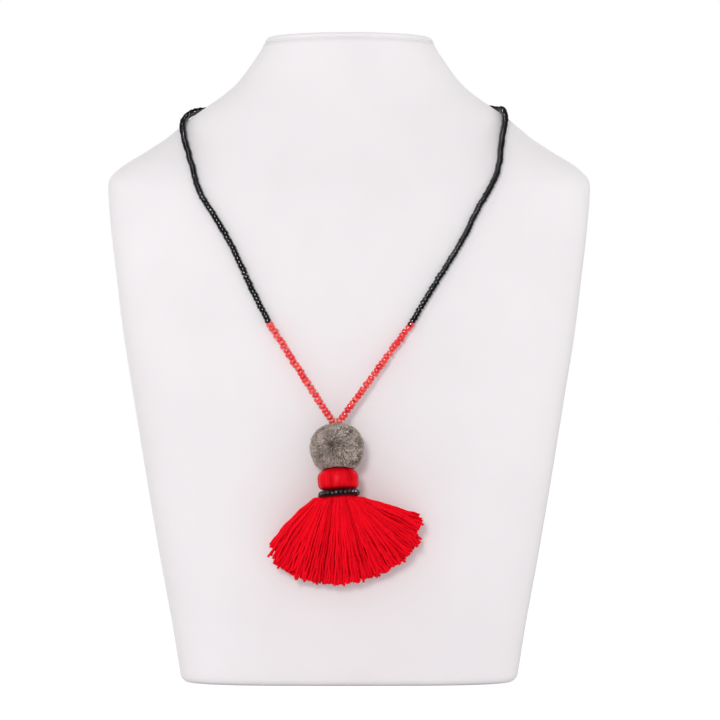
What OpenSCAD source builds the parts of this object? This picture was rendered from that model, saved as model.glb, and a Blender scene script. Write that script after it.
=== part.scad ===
// Tassel necklace on a plain neck bust.
// The origin is the centre of the base's underside, +Z is up and the chest faces -Y.
// The strings of seed beads are plain tubes here, each as thick as its beads.

/* [Display bust] */
// Height from the base to the rim of the neck
bust_h = 296; // [276:1:326]
// Height of the shoulders, where the bust is widest
shoulder_h = 226; // [215:1:237]
// Width over the shoulders
shoulder_w = 222; // [205:1:240]
// Width of the base
base_w = 154; // [140:1:170]
// Width and depth of the round neck at its rim
neck_d = 76; // [68:1:84]
// How far the neck's centre stands behind the middle plane
neck_set = 14; // [8:1:20]
// How far the chest stands in front of the middle plane
chest_d = 50; // [42:1:58]
// How far the back stands behind the middle plane
back_d = 46; // [40:1:54]
// Radius of the rounded edge round the base
base_edge = 3; // [1:0.5:5]
// Radius of the rounded edge round the neck's rim
rim_edge = 1.5; // [0.5:0.5:3]

/* [Strings] */
// Diameter of the seed beads, and so of a string
bead_d = 2.7; // [2:0.1:3]
// Level of the lowest point of the coral string's centre line
pendant_level = 118.6; // [108:0.2:132]
// How far that point stands to the side of the bust's middle
pendant_x = -5.7; // [-12:0.1:6]
// Radius of the turn that the coral string makes there
turn_r = 2.3; // [2:0.1:4]
// Length of the barrel clasp
clasp_l = 9; // [6:0.5:14]
// Diameter of the barrel clasp
clasp_d = 4; // [3:0.1:6]

/* [Pendant] */
// Thickness of the thread that carries the pendant
thread_d = 0.8; // [0.6:0.1:1.2]
// Width of the pompom
pompom_d = 24; // [20:0.5:30]
// Height of the pompom
pompom_h = 23; // [18:0.5:28]
// How far the pompom's top stands above the coral string's lowest point
pompom_rise = 0.8; // [0:0.1:2]
// Width of the wound head
head_d = 18.6; // [16.4:0.2:22]
// Height of the wound head
head_h = 11; // [9:0.2:15]
// How far the head sits up into the pompom's pile
head_seat = 3; // [1:0.1:5]
// Width over the ring of beads round the tassel's neck
ring_d = 18.4; // [15:0.2:20]
// How far the pendant's lower end leans to the right, in degrees
pendant_lean = 2.5; // [-6:0.5:6]
// How far its lower end stands forward, in degrees
pendant_pitch = 6.5; // [0:0.5:9]
// How far the ring tips from square to the pendant, in degrees
ring_tip = 2; // [-5:0.5:5]

/* [Tassel] */
// Length of the yarn from the neck's ring to the hem
skirt_len = 38; // [32:0.5:50]
// How far the skirt fans out to the left of straight down, in degrees
fan_left = 48; // [30:1:60]
// How far it fans out to the right
fan_right = 72; // [40:1:76]
// Thickness of one lock of yarn at the hem
lock_t = 3; // [2:0.1:4]

/* [Clearances] */
// Between a string, pompom or hem and the bust that it lies on
lie_gap = 0.4; // [0.3:0.05:0.8]
// Between two pieces that meet
fit_gap = 0.3; // [0.2:0.05:0.5]

/* [Hidden] */

BUST_WHITE = "#eceaec";
BEAD_BLACK = "#1c1a1e";
BEAD_CORAL = "#e8454a";
BRASS = "#c9a24a";
THREAD_BEIGE = "#d8c8a8";
PILE_TAUPE = "#8f877c";
YARN_RED = "#e00a1a";
HEAD_RED = "#e0101c";

// Sides of a wide round piece and of a thin one
WIDE_SIDES = 64;
THIN_SIDES = 24;

function mix(a, b, share) = a + (b - a) * share;
function smooth(share) = share * share * (3 - 2 * share);
function unit(v) = v / norm(v);

// Sections of the bust from the base to the shoulders.
// Columns: height as a share of shoulder_h; half width as a share of the way from the base's to
// the shoulders'; front as a share of chest_d; back as a share of back_d; how far the section's
// widest line is set back, as a share of neck_set; squareness, where 2 is an ellipse.
TRUNK = [
    [0.00, 0.00, 0.90, 0.86, 0.00, 3.20],
    [0.12, 0.13, 0.94, 0.87, 0.00, 3.10],
    [0.26, 0.30, 0.98, 0.89, 0.00, 3.00],
    [0.42, 0.48, 1.00, 0.91, 0.00, 2.90],
    [0.57, 0.64, 1.01, 0.93, 0.02, 2.80],
    [0.70, 0.78, 0.99, 0.96, 0.08, 2.75],
    [0.82, 0.88, 0.93, 0.99, 0.18, 2.70],
    [0.92, 0.96, 0.83, 1.03, 0.30, 2.65],
    [1.00, 1.00, 0.73, 1.06, 0.42, 2.60]
];
// Sections from just over the shoulders to the neck's rim.
// Columns: height as a share of the way from the shoulders to the rim; half width as a share of
// the way from the neck's to the shoulders'.
COLLAR = [
    [0.06, 0.990],
    [0.11, 0.950],
    [0.16, 0.890],
    [0.21, 0.810],
    [0.27, 0.720],
    [0.33, 0.635],
    [0.40, 0.555],
    [0.47, 0.475],
    [0.54, 0.380],
    [0.61, 0.285],
    [0.68, 0.205],
    [0.76, 0.140],
    [0.85, 0.080],
    [0.93, 0.030],
    [1.00, 0.000]
];
// How fast the depth and squareness turn from the shoulders' to the neck's
COLLAR_EASE = 2.2;
NECK_SQUARE = 2;

function trunk_section(row) = [
    row[0] * shoulder_h,
    mix(base_w, shoulder_w, row[1]) / 2,
    row[2] * chest_d,
    row[3] * back_d,
    row[4] * neck_set,
    row[5]
];
SHOULDER = trunk_section(TRUNK[len(TRUNK) - 1]);
function collar_section(row) =
    let (ease = pow(1 - row[0], COLLAR_EASE))
    [
        mix(shoulder_h, bust_h, row[0]),
        mix(neck_d, shoulder_w, row[1]) / 2,
        mix(neck_d / 2 - neck_set, SHOULDER[2], ease),
        mix(neck_d / 2 + neck_set, SHOULDER[3], ease),
        mix(neck_set, SHOULDER[4], ease),
        mix(NECK_SQUARE, SHOULDER[5], ease)
    ];
// Columns: height, half width, front, back, set back, squareness
SECTIONS = concat([for (row = TRUNK) trunk_section(row)], [for (row = COLLAR) collar_section(row)]);

// The section at any height, on a smooth curve through the rows
function slope_at(i) =
    let (a = SECTIONS[max(i - 1, 0)], b = SECTIONS[min(i + 1, len(SECTIONS) - 1)])
    (b - a) / (b[0] - a[0]);
function row_below(z, i = 0) =
    i >= len(SECTIONS) - 2 || z < SECTIONS[i + 1][0] ? i : row_below(z, i + 1);
function section_at(z) =
    let (
        i = row_below(z),
        step = SECTIONS[i + 1][0] - SECTIONS[i][0],
        s = (z - SECTIONS[i][0]) / step
    )
    SECTIONS[i] * (2 * pow(s, 3) - 3 * pow(s, 2) + 1)
        + slope_at(i) * step * (pow(s, 3) - 2 * pow(s, 2) + s)
        + SECTIONS[i + 1] * (3 * pow(s, 2) - 2 * pow(s, 3))
        + slope_at(i + 1) * step * (pow(s, 3) - pow(s, 2));
// How far a rounded edge pulls a section in, at a distance from the end that it rounds
function edge_inset(away, r) = away >= r ? 0 : r - sqrt(max(0, r * r - pow(r - away, 2)));
// A point of the bust at a height and a turn: 0 is the front, 90 the right side, 180 the back
function bust_point(z, turn) =
    let (
        s = section_at(z),
        inset = edge_inset(z, base_edge) + edge_inset(bust_h - z, rim_edge),
        across = sin(turn),
        ahead = cos(turn),
        reach = pow(pow(abs(across), s[5]) + pow(abs(ahead), s[5]), -1 / s[5]),
        depth = (ahead > 0 ? s[4] + s[2] : s[3] - s[4]) - inset
    )
    [(s[1] - inset) * across * reach, s[4] - depth * ahead * reach, z];
// Small steps in turn and in height that give the bust's slope
TURN_STEP = 0.5;
RISE_STEP = 0.5;
function bust_normal(z, turn) =
    unit(cross(
        bust_point(z, turn + TURN_STEP) - bust_point(z, turn - TURN_STEP),
        bust_point(z + RISE_STEP, turn) - bust_point(z - RISE_STEP, turn)
    ));
// The front of the chest at a place seen from the front
function chest_y(x, z) =
    let (s = section_at(z))
    s[4] - (s[4] + s[2]) * pow(1 - pow(abs(x) / s[1], s[5]), 1 / s[5]);

// A closed tube through rings of points that run clockwise seen against the way it goes
function tube_faces(rings, sides) = concat(
    [[for (i = [0 : sides - 1]) i]],
    [
        for (r = [0 : rings - 2], i = [0 : sides - 1])
        let (a = r * sides + i, b = r * sides + (i + 1) % sides)
        each [[a, a + sides, b], [b, a + sides, b + sides]]
    ],
    [[for (i = [sides - 1 : -1 : 0]) (rings - 1) * sides + i]]
);
module tube(rings) {
    polyhedron([for (ring = rings) each ring], tube_faces(len(rings), len(rings[0])));
}
// A ring of points round a place, as wide as width along across and as deep as depth along through
function ring_at(place, across, through, width, depth, sides) = [
    for (i = [0 : sides - 1])
    let (a = 360 * (i + 0.5) / sides)
    place + across * cos(a) * width / 2 + through * sin(a) * depth / 2
];

// Display bust
BUST_SIDES = 44;
EDGE_STEPS = 3;
// Rings of the trunk for each row of its table
TRUNK_STEPS = 2;
// How far the body runs on below the base before it is cut flat
BASE_SPARE = 1;
// Distances from a rounded end to the rings of its edge
function edge_levels(r) = [for (i = [0 : EDGE_STEPS]) r * (1 - cos(90 * i / EDGE_STEPS))];
BUST_LEVELS = concat(
    edge_levels(base_edge),
    [
        for (i = [0 : len(TRUNK) - 2], s = [0 : TRUNK_STEPS - 1])
        let (z = mix(TRUNK[i][0], TRUNK[i + 1][0], s / TRUNK_STEPS) * shoulder_h)
        if (z > base_edge) z
    ],
    [shoulder_h],
    [for (i = [0 : len(COLLAR) - 2]) mix(shoulder_h, bust_h, COLLAR[i][0])],
    [for (i = [EDGE_STEPS : -1 : 0]) bust_h - edge_levels(rim_edge)[i]]
);
function bust_ring(z) = [for (i = [0 : BUST_SIDES - 1]) bust_point(z, 360 * i / BUST_SIDES)];

module display_bust() {
    color(BUST_WHITE) difference() {
        tube(concat(
            [[for (p = bust_ring(0)) p - [0, 0, BASE_SPARE]]],
            [for (z = BUST_LEVELS) bust_ring(z)]
        ));
        translate([-shoulder_w, -shoulder_w, -2 * BASE_SPARE])
            cube([2 * shoulder_w, 2 * shoulder_w, 2 * BASE_SPARE]);
    }
}

// Routes of the strings
// Where a string goes over the shoulder and where it lies at the nape, as shares of the way from
// the shoulders to the rim
CREST_RISE = 0.49;
NAPE_RISE = 0.60;
CREST_Z = mix(shoulder_h, bust_h, CREST_RISE);
NAPE_Z = mix(shoulder_h, bust_h, NAPE_RISE);
// The black strings' route over the bust from the clasp to the coral beads, chosen by hand.
// Columns: level as a share of the way from the pendant's level up to the crest's; turn round
// the bust on the left and on the right, in degrees from the front; lift off the bust as a share
// of the pendant's.
ROUTE = [
    [1.048, 154.0, 153.0, 0.00],
    [1.032, 134.0, 131.0, 0.00],
    [1.012, 114.0, 104.0, 0.00],
    [0.994,  90.0,  76.0, 0.00],
    [0.925,  60.5,  53.5, 0.00],
    [0.825,  39.5,  37.5, 0.00],
    [0.700,  33.0,  30.5, 0.00],
    [0.570,  27.5,  26.0, 0.00],
    [0.440,  23.5,  20.5, 0.01],
    [0.310,  19.0,  15.0, 0.09]
];
LEFT = -1;
RIGHT = 1;
STRING_SIDES = 8;
RINGS_A_ROW = 3;
LEG_RINGS = 6;
TURN_RINGS = 4;
// A short way along a route, for its direction
NEARBY = 0.01;

// The pendant hangs from the lowest point of the coral string, clear of the chest by the pompom
POMPOM_Z = pompom_rise - pompom_h / 2;
HANG = [
    pendant_x,
    chest_y(pendant_x, pendant_level + POMPOM_Z) - lie_gap - pompom_d / 2 - POMPOM_Z * sin(pendant_pitch),
    pendant_level
];
PENDANT_LIFT = (pompom_d - bead_d) / 2;

// A smooth curve through rows, at a place counted in rows
function curve_at(rows, place) =
    let (
        i = max(0, min(floor(place), len(rows) - 2)),
        f = place - i,
        a = rows[max(i - 1, 0)],
        b = rows[i],
        c = rows[i + 1],
        d = rows[min(i + 2, len(rows) - 1)]
    )
    b + (c - a + (2 * a - 5 * b + 4 * c - d + (3 * (b - c) + d - a) * f) * f) * f / 2;
// The turn at which a string meets its end of the clasp
CLASP_TURN = 180 - asin((clasp_l / 2 + fit_gap) / section_at(NAPE_Z)[1]);
// Columns: level, turn, lift off the bust
function route_rows(side) = concat(
    [[NAPE_Z, side * CLASP_TURN, 0]],
    [
        for (row = ROUTE)
        let (turn = side == LEFT ? row[1] : row[2])
        [mix(pendant_level, CREST_Z, row[0]), side * turn, row[3] * PENDANT_LIFT]
    ]
);
function route_point(rows, place) =
    let (at = curve_at(rows, place), away = bead_d / 2 + lie_gap + at[2])
    bust_point(at[0], at[1]) + bust_normal(at[0], at[1]) * away;
function route_way(rows, place) =
    unit(route_point(rows, place + NEARBY) - route_point(rows, place - NEARBY));
function route_out(rows, place) =
    let (at = curve_at(rows, place))
    bust_normal(at[0], at[1]);
// A ring of a string square to its way, with one side facing out
function string_ring(place, way, out) =
    let (across = unit(cross(out, way)), through = cross(way, across))
    ring_at(place, across, through, bead_d, bead_d, STRING_SIDES);

module black_string(side) {
    rows = route_rows(side);
    last = len(rows) - 1;
    color(BEAD_BLACK) tube([
        for (i = [0 : last * RINGS_A_ROW])
        let (
            place = i / RINGS_A_ROW,
            way = route_way(rows, place),
            back = place == last ? fit_gap / 2 : 0
        )
        string_ring(route_point(rows, place) - way * back, way, route_out(rows, place))
    ]);
}
module black_string_left() black_string(LEFT);
module black_string_right() black_string(RIGHT);

// The coral string: two straight legs from the black strings' ends into one round turn
TURN_CENTRE = HANG + [0, 0, turn_r];
function join_point(side) = route_point(route_rows(side), len(ROUTE));
// How far a leg leans from upright
function leg_lean(side) =
    let (to = TURN_CENTRE - join_point(side), reach = norm([to[0], to[2]]))
    atan2(abs(to[0]), abs(to[2])) - asin(turn_r / reach);
function turn_point(a) = TURN_CENTRE + turn_r * [cos(a), 0, sin(a)];
function leg_end(side) = turn_point(270 + side * (90 - leg_lean(side)));
function leg_points(side) =
    let (from = join_point(side), to = leg_end(side), way = unit(to - from))
    [for (i = [0 : LEG_RINGS]) mix(from + way * fit_gap / 2, to, i / LEG_RINGS)];
function backwards(list) = [for (i = [len(list) - 1 : -1 : 0]) list[i]];

module coral_string() {
    first = 180 + leg_lean(LEFT);
    last = 360 - leg_lean(RIGHT);
    points = concat(
        leg_points(LEFT),
        [for (i = [1 : TURN_RINGS - 1]) turn_point(mix(first, last, i / TURN_RINGS))],
        backwards(leg_points(RIGHT))
    );
    end = len(points) - 1;
    color(BEAD_CORAL) tube([
        for (i = [0 : end])
        let (way = unit(points[min(i + 1, end)] - points[max(i - 1, 0)]))
        string_ring(points[i], way, [0, -1, 0])
    ]);
}

// Clasp: a plain barrel across the nape
CLASP_EDGE = 0.6;
CLASP_AT = bust_point(NAPE_Z, 180) + bust_normal(NAPE_Z, 180) * (clasp_d / 2 + lie_gap);

module clasp() {
    r = clasp_d / 2;
    color(BRASS) translate(CLASP_AT) rotate([0, 90, 0]) rotate_extrude($fn = WIDE_SIDES)
        polygon([
            [0, -clasp_l / 2],
            [r - CLASP_EDGE, -clasp_l / 2],
            [r, -clasp_l / 2 + CLASP_EDGE],
            [r, clasp_l / 2 - CLASP_EDGE],
            [r - CLASP_EDGE, clasp_l / 2],
            [0, clasp_l / 2]
        ]);
}

// Pendant: its levels are measured along its own axis, from the coral string's lowest point
HEAD_Z = pompom_rise - pompom_h + head_seat - head_h / 2;
HEAD_FOOT = HEAD_Z - head_h / 2;
RING_R = (ring_d - bead_d) / 2;
// Squareness of the head's dome and of its foot, where 2 is an ellipse
DOME_SQUARE = 2.3;
FOOT_SQUARE = 4.5;
// How far out under the head the ring is taken to touch it, as a share of the head's radius; the
// head's outline is too steep to follow beyond the limit
RING_REACH_LIMIT = 0.95;
RING_REACH = min(RING_R / (head_d / 2), RING_REACH_LIMIT);
// How deep the head's underside is at that place, and how steep it is there
UNDER_REST = 1 - pow(RING_REACH, FOOT_SQUARE);
UNDER_H = head_h / 2 * pow(UNDER_REST, 1 / FOOT_SQUARE);
UNDER_SLOPE = head_h / head_d * pow(RING_REACH, FOOT_SQUARE - 1) * pow(UNDER_REST, 1 / FOOT_SQUARE - 1);
// How far the tipped ring reaches above and below its middle
RING_SWAY = RING_R * sin(abs(ring_tip));
RING_Z = HEAD_Z - UNDER_H - (bead_d / 2 + fit_gap) * sqrt(1 + pow(UNDER_SLOPE, 2)) - RING_SWAY;
ROOT_Z = RING_Z - RING_SWAY - bead_d / 2 - fit_gap;
NECK_R = RING_R - bead_d / 2 - fit_gap;

module hung() {
    translate(HANG) rotate([-pendant_pitch, -pendant_lean, 0]) children();
}
// Where a point of the pendant's own axis lies on the bust
function hung_point(z) = HANG + z * [
    -cos(pendant_pitch) * sin(pendant_lean),
    sin(pendant_pitch),
    cos(pendant_pitch) * cos(pendant_lean)
];

// The thread: a loop round the coral string, a stem through the pompom and head, and a knot
LOOP_R = bead_d / 2 + fit_gap + thread_d / 2;
KNOT_D = 2.2;
KNOT_Z = HEAD_FOOT + KNOT_D / 2 + fit_gap;

module pendant_thread() {
    color(THREAD_BEIGE) hung() {
        rotate([0, 90, 0]) rotate_extrude($fn = WIDE_SIDES)
            translate([LOOP_R, 0]) circle(d = thread_d, $fn = THIN_SIDES);
        translate([0, 0, KNOT_Z]) {
            cylinder(d = thread_d, h = -LOOP_R - KNOT_Z, $fn = THIN_SIDES);
            sphere(d = KNOT_D, $fn = THIN_SIDES);
        }
    }
}

// The right half of the head's outline from its foot up, grown by a clearance
function head_outline(grow, steps) = [
    for (i = [0 : steps])
    let (a = mix(-90, 90, i / steps), power = 2 / (a < 0 ? FOOT_SQUARE : DOME_SQUARE))
    [(head_d / 2 + grow) * pow(cos(a), power), sign(a) * (head_h / 2 + grow) * pow(abs(sin(a)), power)]
];
HEAD_STEPS = 36;
// The room that the head needs in the pieces above and below it
ROOM_STEPS = 16;
module head_room() {
    translate([0, 0, HEAD_Z]) rotate_extrude($fn = WIDE_SIDES / 2)
        polygon(head_outline(fit_gap, ROOM_STEPS));
}
module tassel_head() {
    bore_r = thread_d / 2 + fit_gap;
    pocket_r = KNOT_D / 2 + fit_gap;
    color(HEAD_RED) hung() translate([0, 0, HEAD_Z]) rotate_extrude($fn = WIDE_SIDES) difference() {
        polygon(head_outline(0, HEAD_STEPS));
        translate([0, -head_h]) square([bore_r, 2 * head_h]);
        translate([0, -head_h]) square([pocket_r, head_h / 2 + KNOT_D + 2 * fit_gap]);
    }
}

// Pompom: tufts of pile set evenly round a ball
TUFTS = 84;
TUFT_SIDES = 5;
TURN_OF_GOLD = 137.508;
// Places and widths along a tuft, and the ball's radius, as shares of the pompom's half width
TUFT_FOOT = 0.78;
TUFT_SHOULDER = 0.95;
TUFT_FOOT_W = 0.50;
TUFT_SHOULDER_W = 0.26;
TUFT_TIP_W = 0.065;
BALL_R = 0.84;
BALL_SIDES = 20;
// A direction that no tuft points along
ASKEW = [0.3, 0.2, 1];
// How far the dimple's centre stands above the coral string's lowest point
DIMPLE_RISE = 1;
DIMPLE_R = LOOP_R + thread_d / 2 + fit_gap + DIMPLE_RISE;

module tuft(i) {
    lift = 1 - 2 * (i + 0.5) / TUFTS;
    level = sqrt(1 - lift * lift);
    out = [level * cos(i * TURN_OF_GOLD), level * sin(i * TURN_OF_GOLD), lift];
    across = unit(cross(out, ASKEW));
    through = cross(out, across);
    hull() tube([
        ring_at(out * TUFT_FOOT, across, through, TUFT_FOOT_W, TUFT_FOOT_W, TUFT_SIDES),
        ring_at(out * TUFT_SHOULDER, across, through, TUFT_SHOULDER_W, TUFT_SHOULDER_W, TUFT_SIDES),
        ring_at(out, across, through, TUFT_TIP_W, TUFT_TIP_W, TUFT_SIDES)
    ]);
}
module pompom() {
    color(PILE_TAUPE) hung() difference() {
        translate([0, 0, POMPOM_Z]) scale([pompom_d / 2, pompom_d / 2, pompom_h / 2]) {
            sphere(r = BALL_R, $fn = BALL_SIDES);
            for (i = [0 : TUFTS - 1]) tuft(i);
        }
        translate([0, 0, DIMPLE_RISE]) sphere(r = DIMPLE_R, $fn = THIN_SIDES);
        head_room();
        translate([0, 0, POMPOM_Z - pompom_h])
            cylinder(r = thread_d / 2 + fit_gap, h = 2 * pompom_h, $fn = THIN_SIDES);
    }
}

// Ring of beads round the tassel's neck
module neck_bead_ring() {
    color(BEAD_BLACK) hung() translate([0, 0, RING_Z]) rotate([0, -ring_tip, 0])
        rotate_extrude($fn = WIDE_SIDES) translate([RING_R, 0]) circle(d = bead_d, $fn = THIN_SIDES);
}

// Tassel's skirt: layers of locks spread in a fan, from the neck to the chest
// Columns: locks; share of the fan that the layer covers; how far ahead of the neck's middle it
// starts, as a share of the neck's radius; how many layers lie behind it; how far it bulges
// forward, as a share of a lock's thickness
LAYERS = [
    [12, 1.00, -0.50, 0, 0.00],
    [13, 0.98,  0.10, 1, 0.35],
    [12, 0.92,  0.65, 2, 0.85]
];
// The hem's outline.
// Columns: place in the fan from its left edge to its right; length as a share of skirt_len
HEM = [
    [0.00, 1.03],
    [0.08, 1.11],
    [0.25, 1.03],
    [0.45, 0.97],
    [0.60, 0.98],
    [0.80, 1.04],
    [0.93, 1.08],
    [1.00, 1.00]
];
// How the lengths of neighbouring locks differ, as shares of the hem's, and the steps through the
// list from lock to lock and from layer to layer
LOCK_LENGTHS = [1.00, 0.97, 0.99, 0.95, 1.00, 0.96, 0.98];
LOCK_STEP = 3;
LAYER_STEP = 5;
// Columns: place along a lock; width as a share of its hem's; thickness as a share of its hem's
LOCK_RINGS = [
    [0.00, 0.30, 0.80],
    [0.22, 0.55, 0.90],
    [0.60, 0.85, 1.00],
    [0.95, 1.00, 1.00],
    [1.00, 0.84, 0.70]
];
LOCK_SIDES = 8;
// How much wider a lock is than its share of the hem
LOCK_OVERLAP = 1.4;
// How much of its thickness each layer adds to the skirt's
LAYER_PACK = 0.85;
// How far from the neck's middle the locks start, as a share of its radius
LOCK_SEAT = 0.95;
// How far the fan's two edges bulge outward, as a share of the yarn's length, and a power that
// moves the bulge along a lock, where 1 puts it halfway and less puts it nearer the neck
FAN_BULGE = 0.05;
BULGE_EASE = 0.6;
// The neck under the locks, and how far it stands up inside the ring
NECK_LEN = 4;
NECK_RISE = 3;
ROOT = hung_point(ROOT_Z - lock_t / 2);

function lock_angle(layer, i) =
    let (edge = (1 - layer[1]) / 2)
    mix(-fan_left, fan_right, mix(edge, 1 - edge, i / (layer[0] - 1)));
function lock_length(layer, i) =
    let (place = (lock_angle(layer, i) + fan_left) / (fan_left + fan_right))
    skirt_len * lookup(place, HEM)
        * LOCK_LENGTHS[(LOCK_STEP * i + LAYER_STEP * layer[3]) % len(LOCK_LENGTHS)];
function lock_start(layer, a) =
    let (round = 90 * a / max(fan_left, fan_right))
    ROOT + NECK_R * LOCK_SEAT * [sin(round), -layer[2] * cos(round), 0];
function lock_end(layer, a, long) =
    let (x = ROOT[0] + long * sin(a), z = ROOT[2] - long * cos(a))
    [x, chest_y(x, z) - lie_gap - lock_t * (0.5 + LAYER_PACK * layer[3]), z];
function lock_point(layer, a, long, u) =
    let (
        from = lock_start(layer, a),
        to = lock_end(layer, a, long),
        at = mix(from, to, u),
        way = unit(to - from),
        side_share = a / (a < 0 ? fan_left : fan_right),
        out = FAN_BULGE * skirt_len * side_share * sin(180 * pow(max(u, 0), BULGE_EASE))
    )
    [
        at[0] - way[2] * out,
        mix(from[1], to[1], smooth(u)) - layer[4] * lock_t * sin(180 * u),
        at[2] + way[0] * out
    ];
module lock(layer, i) {
    a = lock_angle(layer, i);
    long = lock_length(layer, i);
    hem_w = 2 * skirt_len * sin((fan_left + fan_right) / layer[0] / 2) * LOCK_OVERLAP;
    rings = [
        for (row = LOCK_RINGS)
        let (
            ahead = lock_point(layer, a, long, row[0] + NEARBY),
            way = unit(ahead - lock_point(layer, a, long, row[0] - NEARBY)),
            across = unit(cross(way, [0, 1, 0]))
        )
        ring_at(lock_point(layer, a, long, row[0]), across, cross(way, across),
            hem_w * row[1], lock_t * row[2], LOCK_SIDES)
    ];
    for (r = [0 : len(rings) - 2]) hull() tube([rings[r], rings[r + 1]]);
}
module tassel_skirt() {
    color(YARN_RED) {
        for (layer = LAYERS, i = [0 : layer[0] - 1]) lock(layer, i);
        hung() difference() {
            translate([0, 0, RING_Z - NECK_LEN])
                cylinder(r = NECK_R, h = NECK_LEN + NECK_RISE, $fn = WIDE_SIDES);
            head_room();
        }
    }
}

display_bust();
black_string_left();
black_string_right();
coral_string();
clasp();
pendant_thread();
pompom();
tassel_head();
neck_bead_ring();
tassel_skirt();
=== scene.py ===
"""Tassel necklace of seed beads on a plain white neck bust.

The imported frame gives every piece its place: the origin is the centre of the bust's base, +Z is up
and the chest faces -Y. Sizes are metres, and MM turns a real size in millimetres into metres. The
bust, the strings' route and the pendant's axis follow the same rules as the solids that they dress.
"""
import logging
import math
import random
from dataclasses import dataclass, field
from enum import Enum
from functools import cached_property

import bpy
import numpy as np
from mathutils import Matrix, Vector, noise


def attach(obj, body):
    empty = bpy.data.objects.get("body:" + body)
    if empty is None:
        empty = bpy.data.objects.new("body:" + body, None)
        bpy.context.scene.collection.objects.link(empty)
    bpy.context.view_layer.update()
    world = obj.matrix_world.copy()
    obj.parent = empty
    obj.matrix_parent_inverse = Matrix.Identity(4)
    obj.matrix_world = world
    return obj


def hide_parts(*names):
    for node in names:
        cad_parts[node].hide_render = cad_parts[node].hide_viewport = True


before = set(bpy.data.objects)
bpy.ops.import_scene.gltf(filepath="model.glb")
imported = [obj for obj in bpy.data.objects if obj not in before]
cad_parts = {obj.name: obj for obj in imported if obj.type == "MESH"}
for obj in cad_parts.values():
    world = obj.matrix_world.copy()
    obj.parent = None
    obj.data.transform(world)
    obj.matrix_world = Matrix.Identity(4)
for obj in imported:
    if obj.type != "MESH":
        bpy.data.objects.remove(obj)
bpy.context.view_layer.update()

MM = 0.001
TURN_OF_GOLD = math.radians(137.508)
LOG = logging.getLogger("tassel_necklace")
BODY = "root"

# Sockets of the nodes that give several the same name
MIX_FACTOR, MIX_A, MIX_B, MIX_COLOUR = 0, 6, 7, 2
RANDOM_VALUE_MIN, RANDOM_VALUE_MAX, RANDOM_VALUE = 2, 3, 1
# Length in metres of one band of the wave texture at a scale of 1
BAND_LENGTH = math.pi / 10


class Side(Enum):
    """The wearer's strings, as the photograph shows them."""

    LEFT = -1
    RIGHT = 1


class Attribute(Enum):
    """What a strand or bead carries for its finish."""

    TONE = "tone"
    REACH = "reach"
    ALONG = "along"
    GIRTH = "girth"
    ROUND_X = "round_x"
    ROUND_Y = "round_y"
    THREAD = "thread"


def linear(hex_colour: str) -> tuple[float, float, float, float]:
    """Turns an sRGB hex colour into the linear colour that a socket takes.

    Args:
        hex_colour: the colour as "#rrggbb".

    Returns:
        Red, green, blue and alpha.
    """
    shares = [int(hex_colour[i:i + 2], 16) / 255 for i in (1, 3, 5)]
    red, green, blue = (s / 12.92 if s <= 0.04045 else ((s + 0.055) / 1.055) ** 2.4 for s in shares)
    return red, green, blue, 1.0


def unit(v: np.ndarray) -> np.ndarray:
    """The direction of a vector."""
    return v / np.linalg.norm(v)


def mix(a: float, b: float, share: float) -> float:
    """The value that lies a share of the way from a to b."""
    return a + (b - a) * share


def smooth(share: float) -> float:
    """A share eased at both ends."""
    return share * share * (3 - 2 * share)


def turns_round(count: int) -> np.ndarray:
    """Even turns round a circle, in radians."""
    return np.arange(count) * 2 * math.pi / count


def feed(tree: bpy.types.NodeTree, node: bpy.types.Node, inputs: dict) -> None:
    """Sets or links a node's inputs.

    Args:
        tree: the node's tree.
        node: the node.
        inputs: by input name or number, a value, a socket to link, or a node whose first output is
            linked.
    """
    for key, value in inputs.items():
        if isinstance(value, bpy.types.Node):
            value = value.outputs[0]
        if isinstance(value, bpy.types.NodeSocket):
            tree.links.new(value, node.inputs[key])
        else:
            node.inputs[key].default_value = value


def add_node(tree: bpy.types.NodeTree, kind: str, inputs: dict | None = None,
             **settings: object) -> bpy.types.Node:
    """Adds one node with its settings, values and links.

    Args:
        tree: the tree that gets the node.
        kind: the node's type.
        inputs: what its inputs take.
        **settings: the node's own attributes.

    Returns:
        The node.
    """
    node = tree.nodes.new(kind)
    for key, value in settings.items():
        setattr(node, key, value)
    feed(tree, node, inputs or {})
    return node


# Finishes


@dataclass(frozen=True)
class Finish:
    """A finish: its name, and what every kind of it sets on the shader."""

    name: str
    colour: str
    roughness: float = 0.5

    def material(self) -> bpy.types.Material:
        """Builds the material once and hands it out from then on.

        Returns:
            The material.
        """
        made = bpy.data.materials.get(self.name)
        if made:
            return made
        made = bpy.data.materials.new(self.name)
        made.use_nodes = True
        tree = made.node_tree
        shader = tree.nodes["Principled BSDF"]
        feed(tree, shader, {"Base Color": linear(self.colour), "Roughness": self.roughness})
        made.diffuse_color = linear(self.colour)
        self.dress(tree, shader)
        return made

    def dress(self, tree: bpy.types.NodeTree, shader: bpy.types.Node) -> None:
        """Adds what this kind of finish needs to the plain shader."""


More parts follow.
